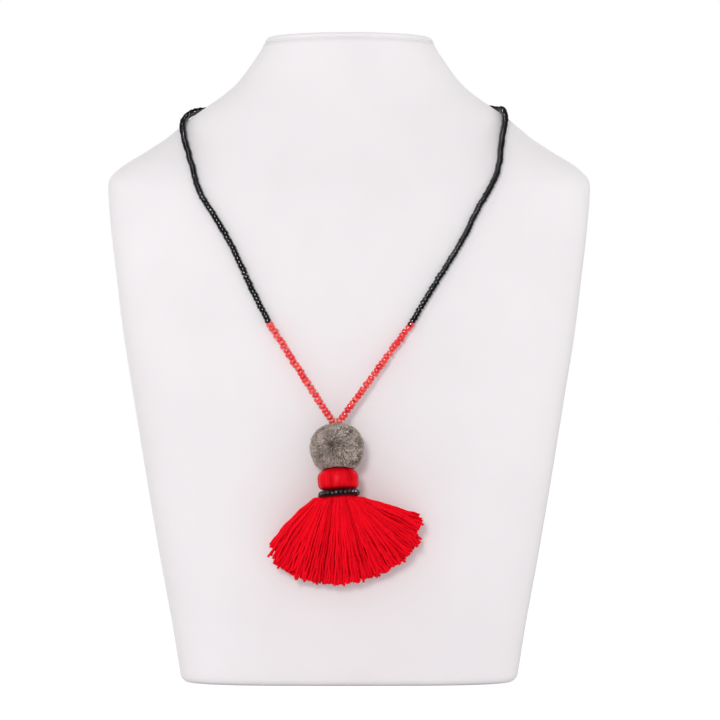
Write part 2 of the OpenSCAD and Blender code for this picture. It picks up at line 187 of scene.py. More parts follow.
@dataclass(frozen=True)
class Leatherette(Finish):
    """White PU leatherette drawn over the bust: coated cloth embossed with a fine matte grain."""

    shade: str = "#e9e5e7"
    grain: float = 1.1 * MM  # real grain is 0.6 mm across, drawn coarser so that it shows
    pores: float = 0.4 * MM
    emboss: float = 0.12 * MM
    mottle: float = 45 * MM

    def dress(self, tree: bpy.types.NodeTree, shader: bpy.types.Node) -> None:
        """Adds the embossed grain, its pores and a faint change of tone.

        Args:
            tree: the material's tree.
            shader: its shader.
        """
        place = add_node(tree, "ShaderNodeTexCoord").outputs["Object"]
        cells = add_node(tree, "ShaderNodeTexVoronoi",
                         {"Vector": place, "Scale": 1 / self.grain}, feature="SMOOTH_F1")
        pores = add_node(tree, "ShaderNodeTexNoise",
                         {"Vector": place, "Scale": 1 / self.pores, "Detail": 3.0})
        height = add_node(tree, "ShaderNodeMath",
                          {0: cells.outputs["Distance"], 1: pores.outputs["Fac"]}, operation="ADD")
        bump = add_node(tree, "ShaderNodeBump",
                        {"Height": height, "Strength": 0.12, "Distance": self.emboss})
        cloud = add_node(tree, "ShaderNodeTexNoise",
                         {"Vector": place, "Scale": 1 / self.mottle, "Detail": 2.0})
        tone = add_node(tree, "ShaderNodeMix",
                        {MIX_FACTOR: cloud.outputs["Fac"], MIX_A: linear(self.colour),
                         MIX_B: linear(self.shade)}, data_type="RGBA")
        shine = add_node(tree, "ShaderNodeMapRange",
                         {"Value": pores.outputs["Fac"], "To Min": self.roughness - 0.06,
                          "To Max": self.roughness + 0.08})
        feed(tree, shader, {
            "Base Color": tone.outputs[MIX_COLOUR], "Roughness": shine, "Normal": bump,
            "Specular IOR Level": 0.35, "Sheen Weight": 0.45, "Sheen Roughness": 0.45,
        })


@dataclass(frozen=True)
class SeedGlass(Finish):
    """Opaque glass of seed beads: cut from drawn cane and tumbled in heat, so glossy and uneven."""

    pale: str = "#ffffff"
    depth: float = 0.0
    gloss: float = 0.25
    coat: float = 0.0
    ripple: float = 0.9 * MM
    ripple_depth: float = 0.1 * MM
    bleed: float = 1.2 * MM

    def dress(self, tree: bpy.types.NodeTree, shader: bpy.types.Node) -> None:
        """Adds a tone for each bead, the ripple of the tumbled surface and the glass's depth.

        Args:
            tree: the material's tree.
            shader: its shader.
        """
        place = add_node(tree, "ShaderNodeTexCoord").outputs["Object"]
        bead = add_node(tree, "ShaderNodeAttribute", attribute_name=Attribute.TONE.value)
        ripple = add_node(tree, "ShaderNodeTexNoise",
                          {"Vector": place, "Scale": 1 / self.ripple, "Detail": 1.0})
        tone = add_node(tree, "ShaderNodeMix",
                        {MIX_FACTOR: bead.outputs["Fac"], MIX_A: linear(self.colour),
                         MIX_B: linear(self.pale)}, data_type="RGBA")
        shine = add_node(tree, "ShaderNodeMapRange",
                         {"Value": ripple.outputs["Fac"], "To Min": self.roughness * 0.6,
                          "To Max": self.roughness * 1.7})
        bump = add_node(tree, "ShaderNodeBump",
                        {"Height": ripple.outputs["Fac"], "Strength": 0.15, "Distance": self.ripple_depth})
        feed(tree, shader, {
            "Base Color": tone.outputs[MIX_COLOUR], "Roughness": shine, "Normal": bump, "IOR": 1.52,
            "Specular IOR Level": self.gloss, "Coat Weight": self.coat, "Coat Roughness": 0.08,
            "Subsurface Weight": self.depth, "Subsurface Radius": (1.0, 0.35, 0.3),
            "Subsurface Scale": self.bleed,
        })


@dataclass(frozen=True)
class SpunYarn(Finish):
    """Cotton or nylon spun in two plies that are twisted together: matte, with a slanting relief."""

    dark: str = "#d80016"
    light: str = "#ff0a22"
    twist: float = 2.6 * MM
    ply_depth: float = 0.12 * MM
    fuzz: float = 0.5 * MM
    relief: float = 0.5
    sheen: float = 0.0
    gloss: float = 0.06

    def dress(self, tree: bpy.types.NodeTree, shader: bpy.types.Node) -> None:
        """Adds a tone for each yarn, the plies' twist and the stray fibres' sheen.

        Args:
            tree: the material's tree.
            shader: its shader.
        """
        place = add_node(tree, "ShaderNodeTexCoord").outputs["Object"]
        yarn, along, across, through = (
            add_node(tree, "ShaderNodeAttribute", attribute_name=carried.value).outputs["Fac"]
            for carried in (Attribute.TONE, Attribute.ALONG, Attribute.ROUND_X, Attribute.ROUND_Y))
        turn = add_node(tree, "ShaderNodeMath",
                        {0: along, 1: 2 * math.pi / self.twist}, operation="MULTIPLY")
        parts = []
        for wave, part in (("SINE", across), ("COSINE", through)):
            swing = add_node(tree, "ShaderNodeMath", {0: turn}, operation=wave)
            parts.append(add_node(tree, "ShaderNodeMath", {0: swing, 1: part}, operation="MULTIPLY"))
        plies = add_node(tree, "ShaderNodeMath", {0: parts[0], 1: parts[1]}, operation="ADD")
        fuzz = add_node(tree, "ShaderNodeTexNoise",
                        {"Vector": place, "Scale": 1 / self.fuzz, "Detail": 3.0})
        height = add_node(tree, "ShaderNodeMath", {0: plies, 1: fuzz.outputs["Fac"]}, operation="ADD")
        bump = add_node(tree, "ShaderNodeBump",
                        {"Height": height, "Strength": self.relief, "Distance": self.ply_depth})
        uneven = add_node(tree, "ShaderNodeMapRange",
                          {"Value": fuzz.outputs["Fac"], "From Min": 0.3, "From Max": 0.7,
                           "To Min": -0.18, "To Max": 0.18})
        share = add_node(tree, "ShaderNodeMath", {0: yarn, 1: uneven}, operation="ADD", use_clamp=True)
        tone = add_node(tree, "ShaderNodeMix",
                        {MIX_FACTOR: share, MIX_A: linear(self.dark),
                         MIX_B: linear(self.light)}, data_type="RGBA")
        feed(tree, shader, {
            "Base Color": tone.outputs[MIX_COLOUR], "Normal": bump, "Sheen Weight": self.sheen,
            "Sheen Roughness": 0.4, "Sheen Tint": linear(self.light), "Specular IOR Level": self.gloss,
        })


@dataclass(frozen=True)
class CutPile(Finish):
    """Sheared fur pile: matte curls, with painted shade that darkens them from the tips down to the skin."""

    # Root and tip: the two ends of the painted shade that darkens the pile towards the skin
    root: str = "#5f524a"
    tip: str = "#eadacf"
    patch: float = 6 * MM
    fibre: float = 0.3 * MM  # real hairs are 0.03 mm thick, drawn coarser so that they show
    fibre_depth: float = 0.1 * MM

    def dress(self, tree: bpy.types.NodeTree, shader: bpy.types.Node) -> None:
        """Adds the painted shade that darkens the pile from tip down to root, and the change of tone from
        curl to curl and from patch to patch.

        Args:
            tree: the material's tree.
            shader: its shader.
        """
        place = add_node(tree, "ShaderNodeTexCoord").outputs["Object"]
        reach = add_node(tree, "ShaderNodeAttribute", attribute_name=Attribute.REACH.value)
        curl = add_node(tree, "ShaderNodeAttribute", attribute_name=Attribute.TONE.value)
        patch = add_node(tree, "ShaderNodeTexNoise",
                         {"Vector": place, "Scale": 1 / self.patch, "Detail": 2.0})
        drift = add_node(tree, "ShaderNodeMapRange",
                         {"Value": patch.outputs["Fac"], "From Min": 0.3, "From Max": 0.7,
                          "To Min": -0.25, "To Max": 0.25})
        shade = add_node(tree, "ShaderNodeMath", {0: curl.outputs["Fac"], 1: drift}, operation="ADD")
        # Painted shade: the pile darkens from the tips down to the roots, and the core, which carries no
        # reach, gets the darkest of it
        height = add_node(tree, "ShaderNodeMapRange",
                          {"Value": reach.outputs["Fac"], "To Min": 0.25, "To Max": 1.0})
        share = add_node(tree, "ShaderNodeMath",
                         {0: shade, 1: height}, operation="MULTIPLY", use_clamp=True)
        tone = add_node(tree, "ShaderNodeMix",
                        {MIX_FACTOR: share, MIX_A: linear(self.root),
                         MIX_B: linear(self.tip)}, data_type="RGBA")
        fibre = add_node(tree, "ShaderNodeTexNoise",
                         {"Vector": place, "Scale": 1 / self.fibre, "Detail": 2.0})
        bump = add_node(tree, "ShaderNodeBump",
                        {"Height": fibre.outputs["Fac"], "Strength": 0.4, "Distance": self.fibre_depth})
        feed(tree, shader, {
            "Base Color": tone.outputs[MIX_COLOUR], "Normal": bump, "Specular IOR Level": 0.2,
            "Sheen Weight": 0.3, "Sheen Roughness": 0.5, "Sheen Tint": linear(self.tip),
        })


@dataclass(frozen=True)
class RayonFloss(Finish):
    """Rayon floss laid side by side over the head: satin, with fine streaks along the threads."""

    shade: str = "#b80010"
    # Painted shade towards both ends of the head
    end_shade_colour: str = "#70000a"
    streaks: float = 26.0  # bundles of floss round the head, with finer streaks in them
    streak_turns: float = 2.5  # how often a streak changes on its way down
    streak_depth: float = 0.2 * MM

    def dress(self, tree: bpy.types.NodeTree, shader: bpy.types.Node) -> None:
        """Adds the streaks that run with the floss, and painted shade: a deeper red towards both ends, where
        the pompom and the ring shade the head.

        Args:
            tree: the material's tree.
            shader: its shader.
        """
        chart = add_node(tree, "ShaderNodeTexCoord").outputs["UV"]
        laid = add_node(tree, "ShaderNodeMapping",
                        {"Vector": chart, "Scale": (self.streaks, self.streak_turns, 1.0)})
        streak = add_node(tree, "ShaderNodeTexNoise", {"Vector": laid, "Scale": 1.0, "Detail": 5.0})
        spread = add_node(tree, "ShaderNodeMapRange",
                          {"Value": streak.outputs["Fac"], "From Min": 0.32, "From Max": 0.68})
        tone = add_node(tree, "ShaderNodeMix",
                        {MIX_FACTOR: spread, MIX_A: linear(self.shade),
                         MIX_B: linear(self.colour)}, data_type="RGBA")
        up = add_node(tree, "ShaderNodeSeparateXYZ", {0: chart}).outputs["Y"]
        middle = add_node(tree, "ShaderNodeMath", {0: up, 1: 0.5}, operation="SUBTRACT")
        away = add_node(tree, "ShaderNodeMath", {0: middle}, operation="ABSOLUTE")
        # Painted shade: the floss turns a deeper red towards both ends, where the pompom above and the ring
        # below shade it
        painted_end_shade = add_node(tree, "ShaderNodeMapRange",
                          {"Value": away, "From Min": 0.1, "From Max": 0.36, "To Max": 0.75},
                          interpolation_type="SMOOTHSTEP")
        deep = add_node(tree, "ShaderNodeMix",
                        {MIX_FACTOR: painted_end_shade, MIX_A: tone.outputs[MIX_COLOUR],
                         MIX_B: linear(self.end_shade_colour)}, data_type="RGBA")
        bump = add_node(tree, "ShaderNodeBump",
                        {"Height": streak.outputs["Fac"], "Strength": 0.25,
                         "Distance": self.streak_depth})
        shine = add_node(tree, "ShaderNodeMapRange",
                         {"Value": streak.outputs["Fac"], "To Min": self.roughness - 0.1,
                          "To Max": self.roughness + 0.12})
        feed(tree, shader, {
            "Base Color": deep.outputs[MIX_COLOUR], "Roughness": shine, "Normal": bump,
            "Specular IOR Level": 0.07,
        })


@dataclass(frozen=True)
class TurnedBrass(Finish):
    """Brass turned on a lathe: fine rings from the tool, dulled a little by handling."""

    dull: str = "#9c7a34"
    ring: float = 0.754 * MM  # real rings are 0.12 mm apart, drawn coarser so that they show
    tarnish: float = 1.5 * MM

    def dress(self, tree: bpy.types.NodeTree, shader: bpy.types.Node) -> None:
        """Adds the tool's rings and the tarnish between them.

        Args:
            tree: the material's tree.
            shader: its shader.
        """
        place = add_node(tree, "ShaderNodeTexCoord").outputs["Object"]
        rings = add_node(tree, "ShaderNodeTexWave",
                         {"Vector": place, "Scale": BAND_LENGTH / self.ring, "Distortion": 0.6},
                         wave_type="BANDS", bands_direction="X")
        tarnish = add_node(tree, "ShaderNodeTexNoise",
                           {"Vector": place, "Scale": 1 / self.tarnish, "Detail": 3.0})
        tone = add_node(tree, "ShaderNodeMix",
                        {MIX_FACTOR: tarnish.outputs["Fac"], MIX_A: linear(self.colour),
                         MIX_B: linear(self.dull)}, data_type="RGBA")
        shine = add_node(tree, "ShaderNodeMapRange",
                         {"Value": rings.outputs["Fac"], "To Min": self.roughness,
                          "To Max": self.roughness + 0.15})
        feed(tree, shader, {"Base Color": tone.outputs[MIX_COLOUR], "Roughness": shine, "Metallic": 1.0})


@dataclass(frozen=True)
class StudioPaper(Finish):
    """White paper over a lit table: matte, with a faint tooth and an even glow from below."""

    seen_glow: float = 0.72
    cast_glow: float = 0.08
    tooth: float = 2 * MM
    tooth_depth: float = 0.1 * MM

    def dress(self, tree: bpy.types.NodeTree, shader: bpy.types.Node) -> None:
        """Adds the paper's tooth, and its glow: stronger to the eye than on the bust.

        Args:
            tree: the material's tree.
            shader: its shader.
        """
        place = add_node(tree, "ShaderNodeTexCoord").outputs["Object"]
        tooth = add_node(tree, "ShaderNodeTexNoise",
                         {"Vector": place, "Scale": 1 / self.tooth, "Detail": 4.0})
        bump = add_node(tree, "ShaderNodeBump",
                        {"Height": tooth.outputs["Fac"], "Strength": 0.05, "Distance": self.tooth_depth})
        path = add_node(tree, "ShaderNodeLightPath")
        glow = add_node(tree, "ShaderNodeMapRange",
                        {"Value": path.outputs["Is Camera Ray"], "To Min": self.cast_glow,
                         "To Max": self.seen_glow})
        feed(tree, shader, {
            "Normal": bump, "Specular IOR Level": 0.1, "Emission Color": linear(self.colour),
            "Emission Strength": glow,
        })


# PU leatherette, embossed: off-white and matte, its grain showing only where light rakes it
BUST_COVER = Leatherette("white_leatherette", "#f1eef0", 0.55)
# Glass, cut from black cane and tumbled: near black, with small hard highlights
BLACK_GLASS = SeedGlass("black_seed_glass", "#060506", 0.08, pale="#151318", gloss=0.8, coat=0.4)
# Glass, cut from coral cane and tumbled: warm red, a little lit from within, with soft highlights
CORAL_GLASS = SeedGlass("coral_seed_glass", "#f0353e", 0.14, pale="#ff6a64", depth=0.3, gloss=0.7,
                        coat=0.5)
# Nylon, spun and bonded: a dull dark core between the black beads
BLACK_THREAD = SpunYarn("black_nylon_thread", "#1a1618", 0.6, dark="#100e10", light="#242022",
                        twist=1.2 * MM)
# Nylon, spun and dyed to the beads: keeps the gaps between them red
CORAL_THREAD = SpunYarn("coral_nylon_thread", "#c4262e", 0.6, dark="#a81c24", light="#dc3a40",
                        twist=1.2 * MM)
# Cotton, unbleached and plied: matte and beige, with its twist plain to see
BEIGE_THREAD = SpunYarn("beige_cotton_thread", "#d8c8a8", 0.8, dark="#b8a684", light="#e6dabd",
                        twist=1.6 * MM)
# Cotton, mercerised in lye and plied: a full even red with a soft sheen
RED_YARN = SpunYarn("red_mercerised_cotton", "#e00518", 0.62, sheen=0.3)
# Fur pile, dyed and sheared: taupe and matte, with painted shade that darkens it from the tips down to the
# skin
TAUPE_PILE = CutPile("taupe_fur_pile", "#8f877c", 0.85)
# Rayon floss, wound flat: deep red satin with streaks along the threads
RED_FLOSS = RayonFloss("red_rayon_floss", "#f2081e", 0.28)
# Brass, turned: warm yellow with fine bright rings
CLASP_BRASS = TurnedBrass("turned_brass", "#c9a24a", 0.25)
# Paper, uncoated: white without a gleam
PAPER = StudioPaper("white_studio_paper", "#e6e6e6", 0.9)


# Meshes


def dressed(piece: bpy.types.Object, slot: str, *nodes: str) -> bpy.types.Object:
    """Puts a finished piece on its body and in place of its nodes, and logs it with its slot's name.

    Args:
        piece: the finished piece.
        slot: the slot's name, which is only logged.
        *nodes: the nodes that it stands for.

    Returns:
        The piece.
    """
    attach(piece, BODY)
    if nodes:
        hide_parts(*nodes)
    LOG.info("%s: %d faces, %s", piece.name, len(piece.data.polygons), slot)
    return piece


def new_object(name: str, mesh: bpy.types.Mesh) -> bpy.types.Object:
    """Links a mesh to the scene under a name.

    Args:
        name: the object's name.
        mesh: its mesh.

    Returns:
        The object, at the origin.
    """
    made = bpy.data.objects.new(name, mesh)
    bpy.context.scene.collection.objects.link(made)
    return made


def lathed(name: str, rings: np.ndarray, finish: Finish) -> bpy.types.Object:
    """Makes a closed piece from rings of points, with a chart that runs round it and up it.

    Args:
        name: the piece's name.
        rings: points by ring and place, counter-clockwise seen against the way the rings go.
        finish: the piece's finish.

    Returns:
        The piece.
    """
    count, sides = rings.shape[:2]
    faces, chart = [], []
    for r in range(count - 1):
        for i in range(sides):
            a, b = r * sides + i, r * sides + (i + 1) % sides
            faces.append((a, b, b + sides, a + sides))
            left, right = i / sides, (i + 1) / sides
            low, high = r / (count - 1), (r + 1) / (count - 1)
            chart += [(left, low), (right, low), (right, high), (left, high)]
    faces.append(tuple(reversed(range(sides))))
    chart += [(i / sides, 0.0) for i in reversed(range(sides))]
    faces.append(tuple(range((count - 1) * sides, count * sides)))
    chart += [(i / sides, 1.0) for i in range(sides)]
    mesh = bpy.data.meshes.new(name)
    mesh.from_pydata(rings.reshape(-1, 3).tolist(), [], faces)
    mesh.shade_smooth()
    layer = mesh.uv_layers.new(name="round_and_up")
    layer.data.foreach_set("uv", np.array(chart).ravel())
    mesh.materials.append(finish.material())
    return new_object(name, mesh)


@dataclass
class StrandGuides:
    """Centre lines of strands, with what each of their points carries."""

    points: list[np.ndarray] = field(default_factory=list)
    girths: list[np.ndarray] = field(default_factory=list)
    tones: list[float] = field(default_factory=list)
    closed: list[bool] = field(default_factory=list)

    def add(self, points: np.ndarray, girths: np.ndarray, tone: float = 0.5, closed: bool = False) -> None:
        """Adds one centre line.

        Args:
            points: its points from root to tip.
            girths: the strand's radius at each.
            tone: how light the strand is, from 0 to 1.
            closed: whether the line runs back into its start.
        """
        self.points.append(points)
        self.girths.append(girths)
        self.tones.append(tone)
        self.closed.append(closed)

    def object(self, name: str) -> bpy.types.Object:
        """Makes the centre lines one object of edges.

        Args:
            name: the object's name.

        Returns:
            The object, with the strands' radii, tones and reaches as point attributes.
        """
        edges, start = [], 0
        for line, closed in zip(self.points, self.closed):
            edges += [(start + i, start + i + 1) for i in range(len(line) - 1)]
            if closed:
                edges.append((start + len(line) - 1, start))
            start += len(line)
        mesh = bpy.data.meshes.new(name)
        mesh.from_pydata(np.concatenate(self.points).tolist(), edges, [])
        carried = {
            Attribute.GIRTH: np.concatenate(self.girths),
            Attribute.TONE: np.concatenate([np.full(len(p), t) for p, t in zip(self.points, self.tones)]),
            Attribute.REACH: np.concatenate([np.linspace(0, 1, len(p)) for p in self.points]),
        }
        for attribute, values in carried.items():
            layer = mesh.attributes.new(attribute.value, "FLOAT", "POINT")
            layer.data.foreach_set("value", values.astype(np.float32))
        return new_object(name, mesh)


@dataclass
class NodeMaker:
    """A Geometry Nodes tree with named inputs, and the way to run it on an object."""

    name: str
    tree: bpy.types.NodeTree = field(init=False)
    sockets: dict[str, str] = field(init=False, default_factory=dict)

    def __post_init__(self) -> None:
        """Builds the tree: its inputs first, then what the kind of tree adds."""
        self.tree = bpy.data.node_groups.new(self.name, "GeometryNodeTree")
        self.tree.interface.new_socket(name="Geometry", in_out="INPUT", socket_type="NodeSocketGeometry")
        for name, kind in self.inputs().items():
            item = self.tree.interface.new_socket(name=name, in_out="INPUT", socket_type="NodeSocket" + kind)
            self.sockets[name] = item.identifier
        self.tree.interface.new_socket(name="Geometry", in_out="OUTPUT", socket_type="NodeSocketGeometry")
        self.wire(add_node(self.tree, "NodeGroupInput").outputs)

    def inputs(self) -> dict[str, str]:
        """Names the tree's inputs and their kinds."""
        return {}

    def wire(self, given: bpy.types.NodeOutputs) -> None:
        """Adds the tree's nodes, from its inputs to its output."""

    def run(self, guide: bpy.types.Object, **values: object) -> bpy.types.Object:
        """Runs the tree on an object and leaves the result as its plain mesh.

        Args:
            guide: the object that the tree works on.
            **values: the inputs, by name with _ for a space.

        Returns:
            The same object, with the result as its mesh and no modifier.
        """
        modifier = guide.modifiers.new(self.name, "NODES")
        modifier.node_group = self.tree
        for name, value in values.items():
            modifier[self.sockets[name.replace("_", " ")]] = value
        graph = bpy.context.evaluated_depsgraph_get()
        result = bpy.data.meshes.new_from_object(guide.evaluated_get(graph), preserve_all_data_layers=True,
                                                 depsgraph=graph)
        result.name = guide.name
        guide.modifiers.clear()
        guide.data = result
        return guide


class StrandSweep(NodeMaker):
    """Sweeps a round strand along every centre line."""

    def inputs(self) -> dict[str, str]:
        """Names the tree's inputs and their kinds."""
        return {"Sides": "Int", "Wander": "Float", "Wander Size": "Float", "Material": "Material"}

    def wire(self, given: bpy.types.NodeOutputs) -> None:
        """Adds the wander, the sweep and what the finish reads.

        Args:
            given: the tree's inputs.
        """
        tree = self.tree
        lines = add_node(tree, "GeometryNodeMeshToCurve", {"Mesh": given["Geometry"]})
        moved = add_node(tree, "GeometryNodeSetPosition",
                         {"Geometry": lines, "Offset": self.wander(given)})
        run = add_node(tree, "GeometryNodeSplineParameter")
        marked = add_node(tree, "GeometryNodeStoreNamedAttribute",
                          {"Geometry": moved, "Name": Attribute.ALONG.value,
                           "Value": run.outputs["Length"]}, domain="POINT")
        girth = add_node(tree, "GeometryNodeInputNamedAttribute", {"Name": Attribute.GIRTH.value})
        swept = add_node(tree, "GeometryNodeCurveToMesh",
                         {"Curve": marked, "Profile Curve": self.section(given),
                          "Scale": girth.outputs["Attribute"], "Fill Caps": True})
        rounded = add_node(tree, "GeometryNodeSetShadeSmooth", {"Geometry": swept})
        real = add_node(tree, "GeometryNodeRealizeInstances", {"Geometry": rounded})
        coated = add_node(tree, "GeometryNodeSetMaterial",
                          {"Geometry": real, "Material": given["Material"]})
        add_node(tree, "NodeGroupOutput", {"Geometry": coated})

    def wander(self, given: bpy.types.NodeOutputs) -> bpy.types.Node:
        """Works out how far each point strays, more towards the strand's tip.

        Args:
            given: the tree's inputs.

        Returns:
            The node that gives the way that each point moves.
        """
        tree = self.tree
        place = add_node(tree, "GeometryNodeInputPosition")
        fineness = add_node(tree, "ShaderNodeMath", {0: 1.0, 1: given["Wander Size"]}, operation="DIVIDE")
        wave = add_node(tree, "ShaderNodeTexNoise", {"Vector": place, "Scale": fineness, "Detail": 1.0})
        centred = add_node(tree, "ShaderNodeVectorMath",
                           {0: wave.outputs["Color"], 1: (0.5, 0.5, 0.5)}, operation="SUBTRACT")
        reach = add_node(tree, "GeometryNodeInputNamedAttribute", {"Name": Attribute.REACH.value})
        swing = add_node(tree, "ShaderNodeMath",
                         {0: reach.outputs["Attribute"], 1: given["Wander"]}, operation="MULTIPLY")
        offset = add_node(tree, "ShaderNodeVectorMath", {0: centred, "Scale": swing}, operation="SCALE")
        return offset

    def section(self, given: bpy.types.NodeOutputs) -> bpy.types.Node:
        """Draws the strand's round section, whose points know their place round it.

        Args:
            given: the tree's inputs.

        Returns:
            The node that gives its curve.
        """
        tree = self.tree
        circle = add_node(tree, "GeometryNodeCurvePrimitiveCircle",
                          {"Resolution": given["Sides"], "Radius": 1.0})
        place = add_node(tree, "GeometryNodeInputPosition")
        where = add_node(tree, "ShaderNodeSeparateXYZ", {0: place})
        ring = circle.outputs["Curve"]
        for attribute, axis in ((Attribute.ROUND_X, "X"), (Attribute.ROUND_Y, "Y")):
            ring = add_node(tree, "GeometryNodeStoreNamedAttribute",
                            {"Geometry": ring, "Name": attribute.value, "Value": where.outputs[axis]},
                            domain="POINT")
        return ring


class BeadStringing(NodeMaker):
    """Strings seed beads on a thread along a line, each a little off in size, tilt and place."""

    BEAD_SIDES = 12
    EDGE_STEPS = 2
    THREAD_SIDES = 6
    # The first random draw of each kind, where a vector takes three
    STAGGER_DRAW, TILT_DRAW, WIDTH_DRAW, LENGTH_DRAW, TONE_DRAW = 1, 4, 7, 8, 9

    def inputs(self) -> dict[str, str]:
        """Names the tree's inputs.

        Returns:
            The kind of socket of each, by name.
        """
        sizes = ("Bead Width", "Bead Length", "Edge", "Hole", "Pitch", "Thread", "Stagger", "Tilt",
                 "Size Spread", "Tone Spread")
        kinds = dict.fromkeys(sizes, "Float")
        return kinds | {"Seed": "Int", "Bead Material": "Material", "Thread Material": "Material"}

    def wire(self, given: bpy.types.NodeOutputs) -> None:
        """Joins the beads and the thread, and gives each its material.

        Args:
            given: the tree's inputs.
        """
        tree = self.tree
        lines = add_node(tree, "GeometryNodeMeshToCurve", {"Mesh": given["Geometry"]})
        both = add_node(tree, "GeometryNodeJoinGeometry", {"Geometry": self.beads(given, lines)})
        feed(tree, both, {"Geometry": self.thread(given, lines)})
        rounded = add_node(tree, "GeometryNodeSetShadeSmooth", {"Geometry": both})
        real = add_node(tree, "GeometryNodeRealizeInstances", {"Geometry": rounded})
        glazed = add_node(tree, "GeometryNodeSetMaterial",
                          {"Geometry": real, "Material": given["Bead Material"]})
        is_thread = add_node(tree, "GeometryNodeInputNamedAttribute", {"Name": Attribute.THREAD.value})
        threaded = add_node(tree, "GeometryNodeSetMaterial",
                            {"Geometry": glazed, "Selection": is_thread.outputs["Attribute"],
                             "Material": given["Thread Material"]})
        add_node(tree, "NodeGroupOutput", {"Geometry": threaded})

    def chance(self, given: bpy.types.NodeOutputs, low: object, high: object,
               draw: int) -> bpy.types.NodeSocket:
        """Draws a number for each bead.

        Args:
            given: the tree's inputs.
            low: the least that it may be, a value or a socket.
            high: the most that it may be.
            draw: which draw it is, as each has a seed of its own.

        Returns:
            The number.
        """
        seed = add_node(self.tree, "ShaderNodeMath", {0: given["Seed"], 1: float(draw)}, operation="ADD")
        drawn = add_node(self.tree, "FunctionNodeRandomValue",
                         {RANDOM_VALUE_MIN: low, RANDOM_VALUE_MAX: high, "Seed": seed}, data_type="FLOAT")
        return drawn.outputs[RANDOM_VALUE]

    def scatter(self, given: bpy.types.NodeOutputs, most: str, draw: int) -> bpy.types.Node:
        """Draws a vector for each bead, up to an amount each way on each axis.

        Args:
            given: the tree's inputs.
            most: the input that holds the amount.
            draw: the first of its three draws.

        Returns:
            The node that gives the vector.
        """
        least = add_node(self.tree, "ShaderNodeMath", {0: given[most], 1: -1.0}, operation="MULTIPLY")
        parts = [self.chance(given, least, given[most], draw + axis) for axis in range(3)]
        return add_node(self.tree, "ShaderNodeCombineXYZ", dict(enumerate(parts)))

    def bead(self, given: bpy.types.NodeOutputs) -> bpy.types.Node:
        """Builds one bead: a wall with rounded edges, swept round the hole.

        Args:
            given: the tree's inputs.

        Returns:
            The node that gives its mesh.
        """
        tree, width, hole = self.tree, given["Bead Width"], given["Hole"]
        across = add_node(tree, "ShaderNodeMath", {0: width, 1: hole}, operation="ADD")
        middle = add_node(tree, "ShaderNodeMath", {0: across, 1: 4.0}, operation="DIVIDE")
        walls = add_node(tree, "ShaderNodeMath", {0: width, 1: hole}, operation="SUBTRACT")
        wall = add_node(tree, "ShaderNodeMath", {0: walls, 1: 2.0}, operation="DIVIDE")
        loop = add_node(tree, "GeometryNodeCurvePrimitiveCircle",
                        {"Resolution": self.BEAD_SIDES, "Radius": middle})
        cut = add_node(tree, "GeometryNodeCurvePrimitiveQuadrilateral",
                       {"Width": wall, "Height": given["Bead Length"]})
        section = add_node(tree, "GeometryNodeFilletCurve",
                           {"Curve": cut.outputs["Curve"], "Count": self.EDGE_STEPS,
                            "Radius": given["Edge"]}, mode="POLY")
        swept = add_node(tree, "GeometryNodeCurveToMesh",
                         {"Curve": loop.outputs["Curve"], "Profile Curve": section})
        return swept

    def beads(self, given: bpy.types.NodeOutputs, lines: bpy.types.Node) -> bpy.types.Node:
        """Strings the beads, each a little out of line, tipped, and of its own size and tone.

        Args:
            given: the tree's inputs.
            lines: the node that gives the curve that they are strung on.

        Returns:
            The node that gives them.
        """
        tree = self.tree
        places = add_node(tree, "GeometryNodeResampleCurve",
                          {"Curve": lines, "Length": given["Pitch"]}, mode="LENGTH")
        shaken = add_node(tree, "GeometryNodeSetPosition",
                          {"Geometry": places,
                           "Offset": self.scatter(given, "Stagger", self.STAGGER_DRAW)})
        way = add_node(tree, "GeometryNodeInputTangent")
        upright = add_node(tree, "FunctionNodeAlignRotationToVector", {"Vector": way}, axis="Z")
        tip = add_node(tree, "FunctionNodeEulerToRotation", {0: self.scatter(given, "Tilt", self.TILT_DRAW)})
        tipped = add_node(tree, "FunctionNodeRotateRotation",
                          {"Rotation": upright, "Rotate By": tip}, rotation_space="LOCAL")
        small = add_node(tree, "ShaderNodeMath", {0: 1.0, 1: given["Size Spread"]}, operation="SUBTRACT")
        large = add_node(tree, "ShaderNodeMath", {0: 1.0, 1: given["Size Spread"]}, operation="ADD")
        wide, long = (self.chance(given, small, large, draw)
                      for draw in (self.WIDTH_DRAW, self.LENGTH_DRAW))
        scale = add_node(tree, "ShaderNodeCombineXYZ", {0: wide, 1: wide, 2: long})
        strung = add_node(tree, "GeometryNodeInstanceOnPoints",
                          {"Points": shaken, "Instance": self.bead(given),
                           "Rotation": tipped, "Scale": scale})
        tone = self.chance(given, 0.0, given["Tone Spread"], self.TONE_DRAW)
        toned = add_node(tree, "GeometryNodeStoreNamedAttribute",
                         {"Geometry": strung, "Name": Attribute.TONE.value, "Value": tone},
                         domain="INSTANCE")
        return toned

    def thread(self, given: bpy.types.NodeOutputs, lines: bpy.types.Node) -> bpy.types.Node:
        """Sweeps the thread through the beads, marked as thread.

        Args:
            given: the tree's inputs.
            lines: the node that gives the curve that it follows.

        Returns:
            The node that gives its mesh.
        """
        tree = self.tree
        radius = add_node(tree, "ShaderNodeMath", {0: given["Thread"], 1: 2.0}, operation="DIVIDE")
        section = add_node(tree, "GeometryNodeCurvePrimitiveCircle",
                           {"Resolution": self.THREAD_SIDES, "Radius": radius})
        swept = add_node(tree, "GeometryNodeCurveToMesh",
                         {"Curve": lines, "Profile Curve": section.outputs["Curve"], "Fill Caps": True})
        marked = add_node(tree, "GeometryNodeStoreNamedAttribute",
                          {"Geometry": swept, "Name": Attribute.THREAD.value, "Value": 1.0},
                          domain="POINT")
        return marked


# Bust


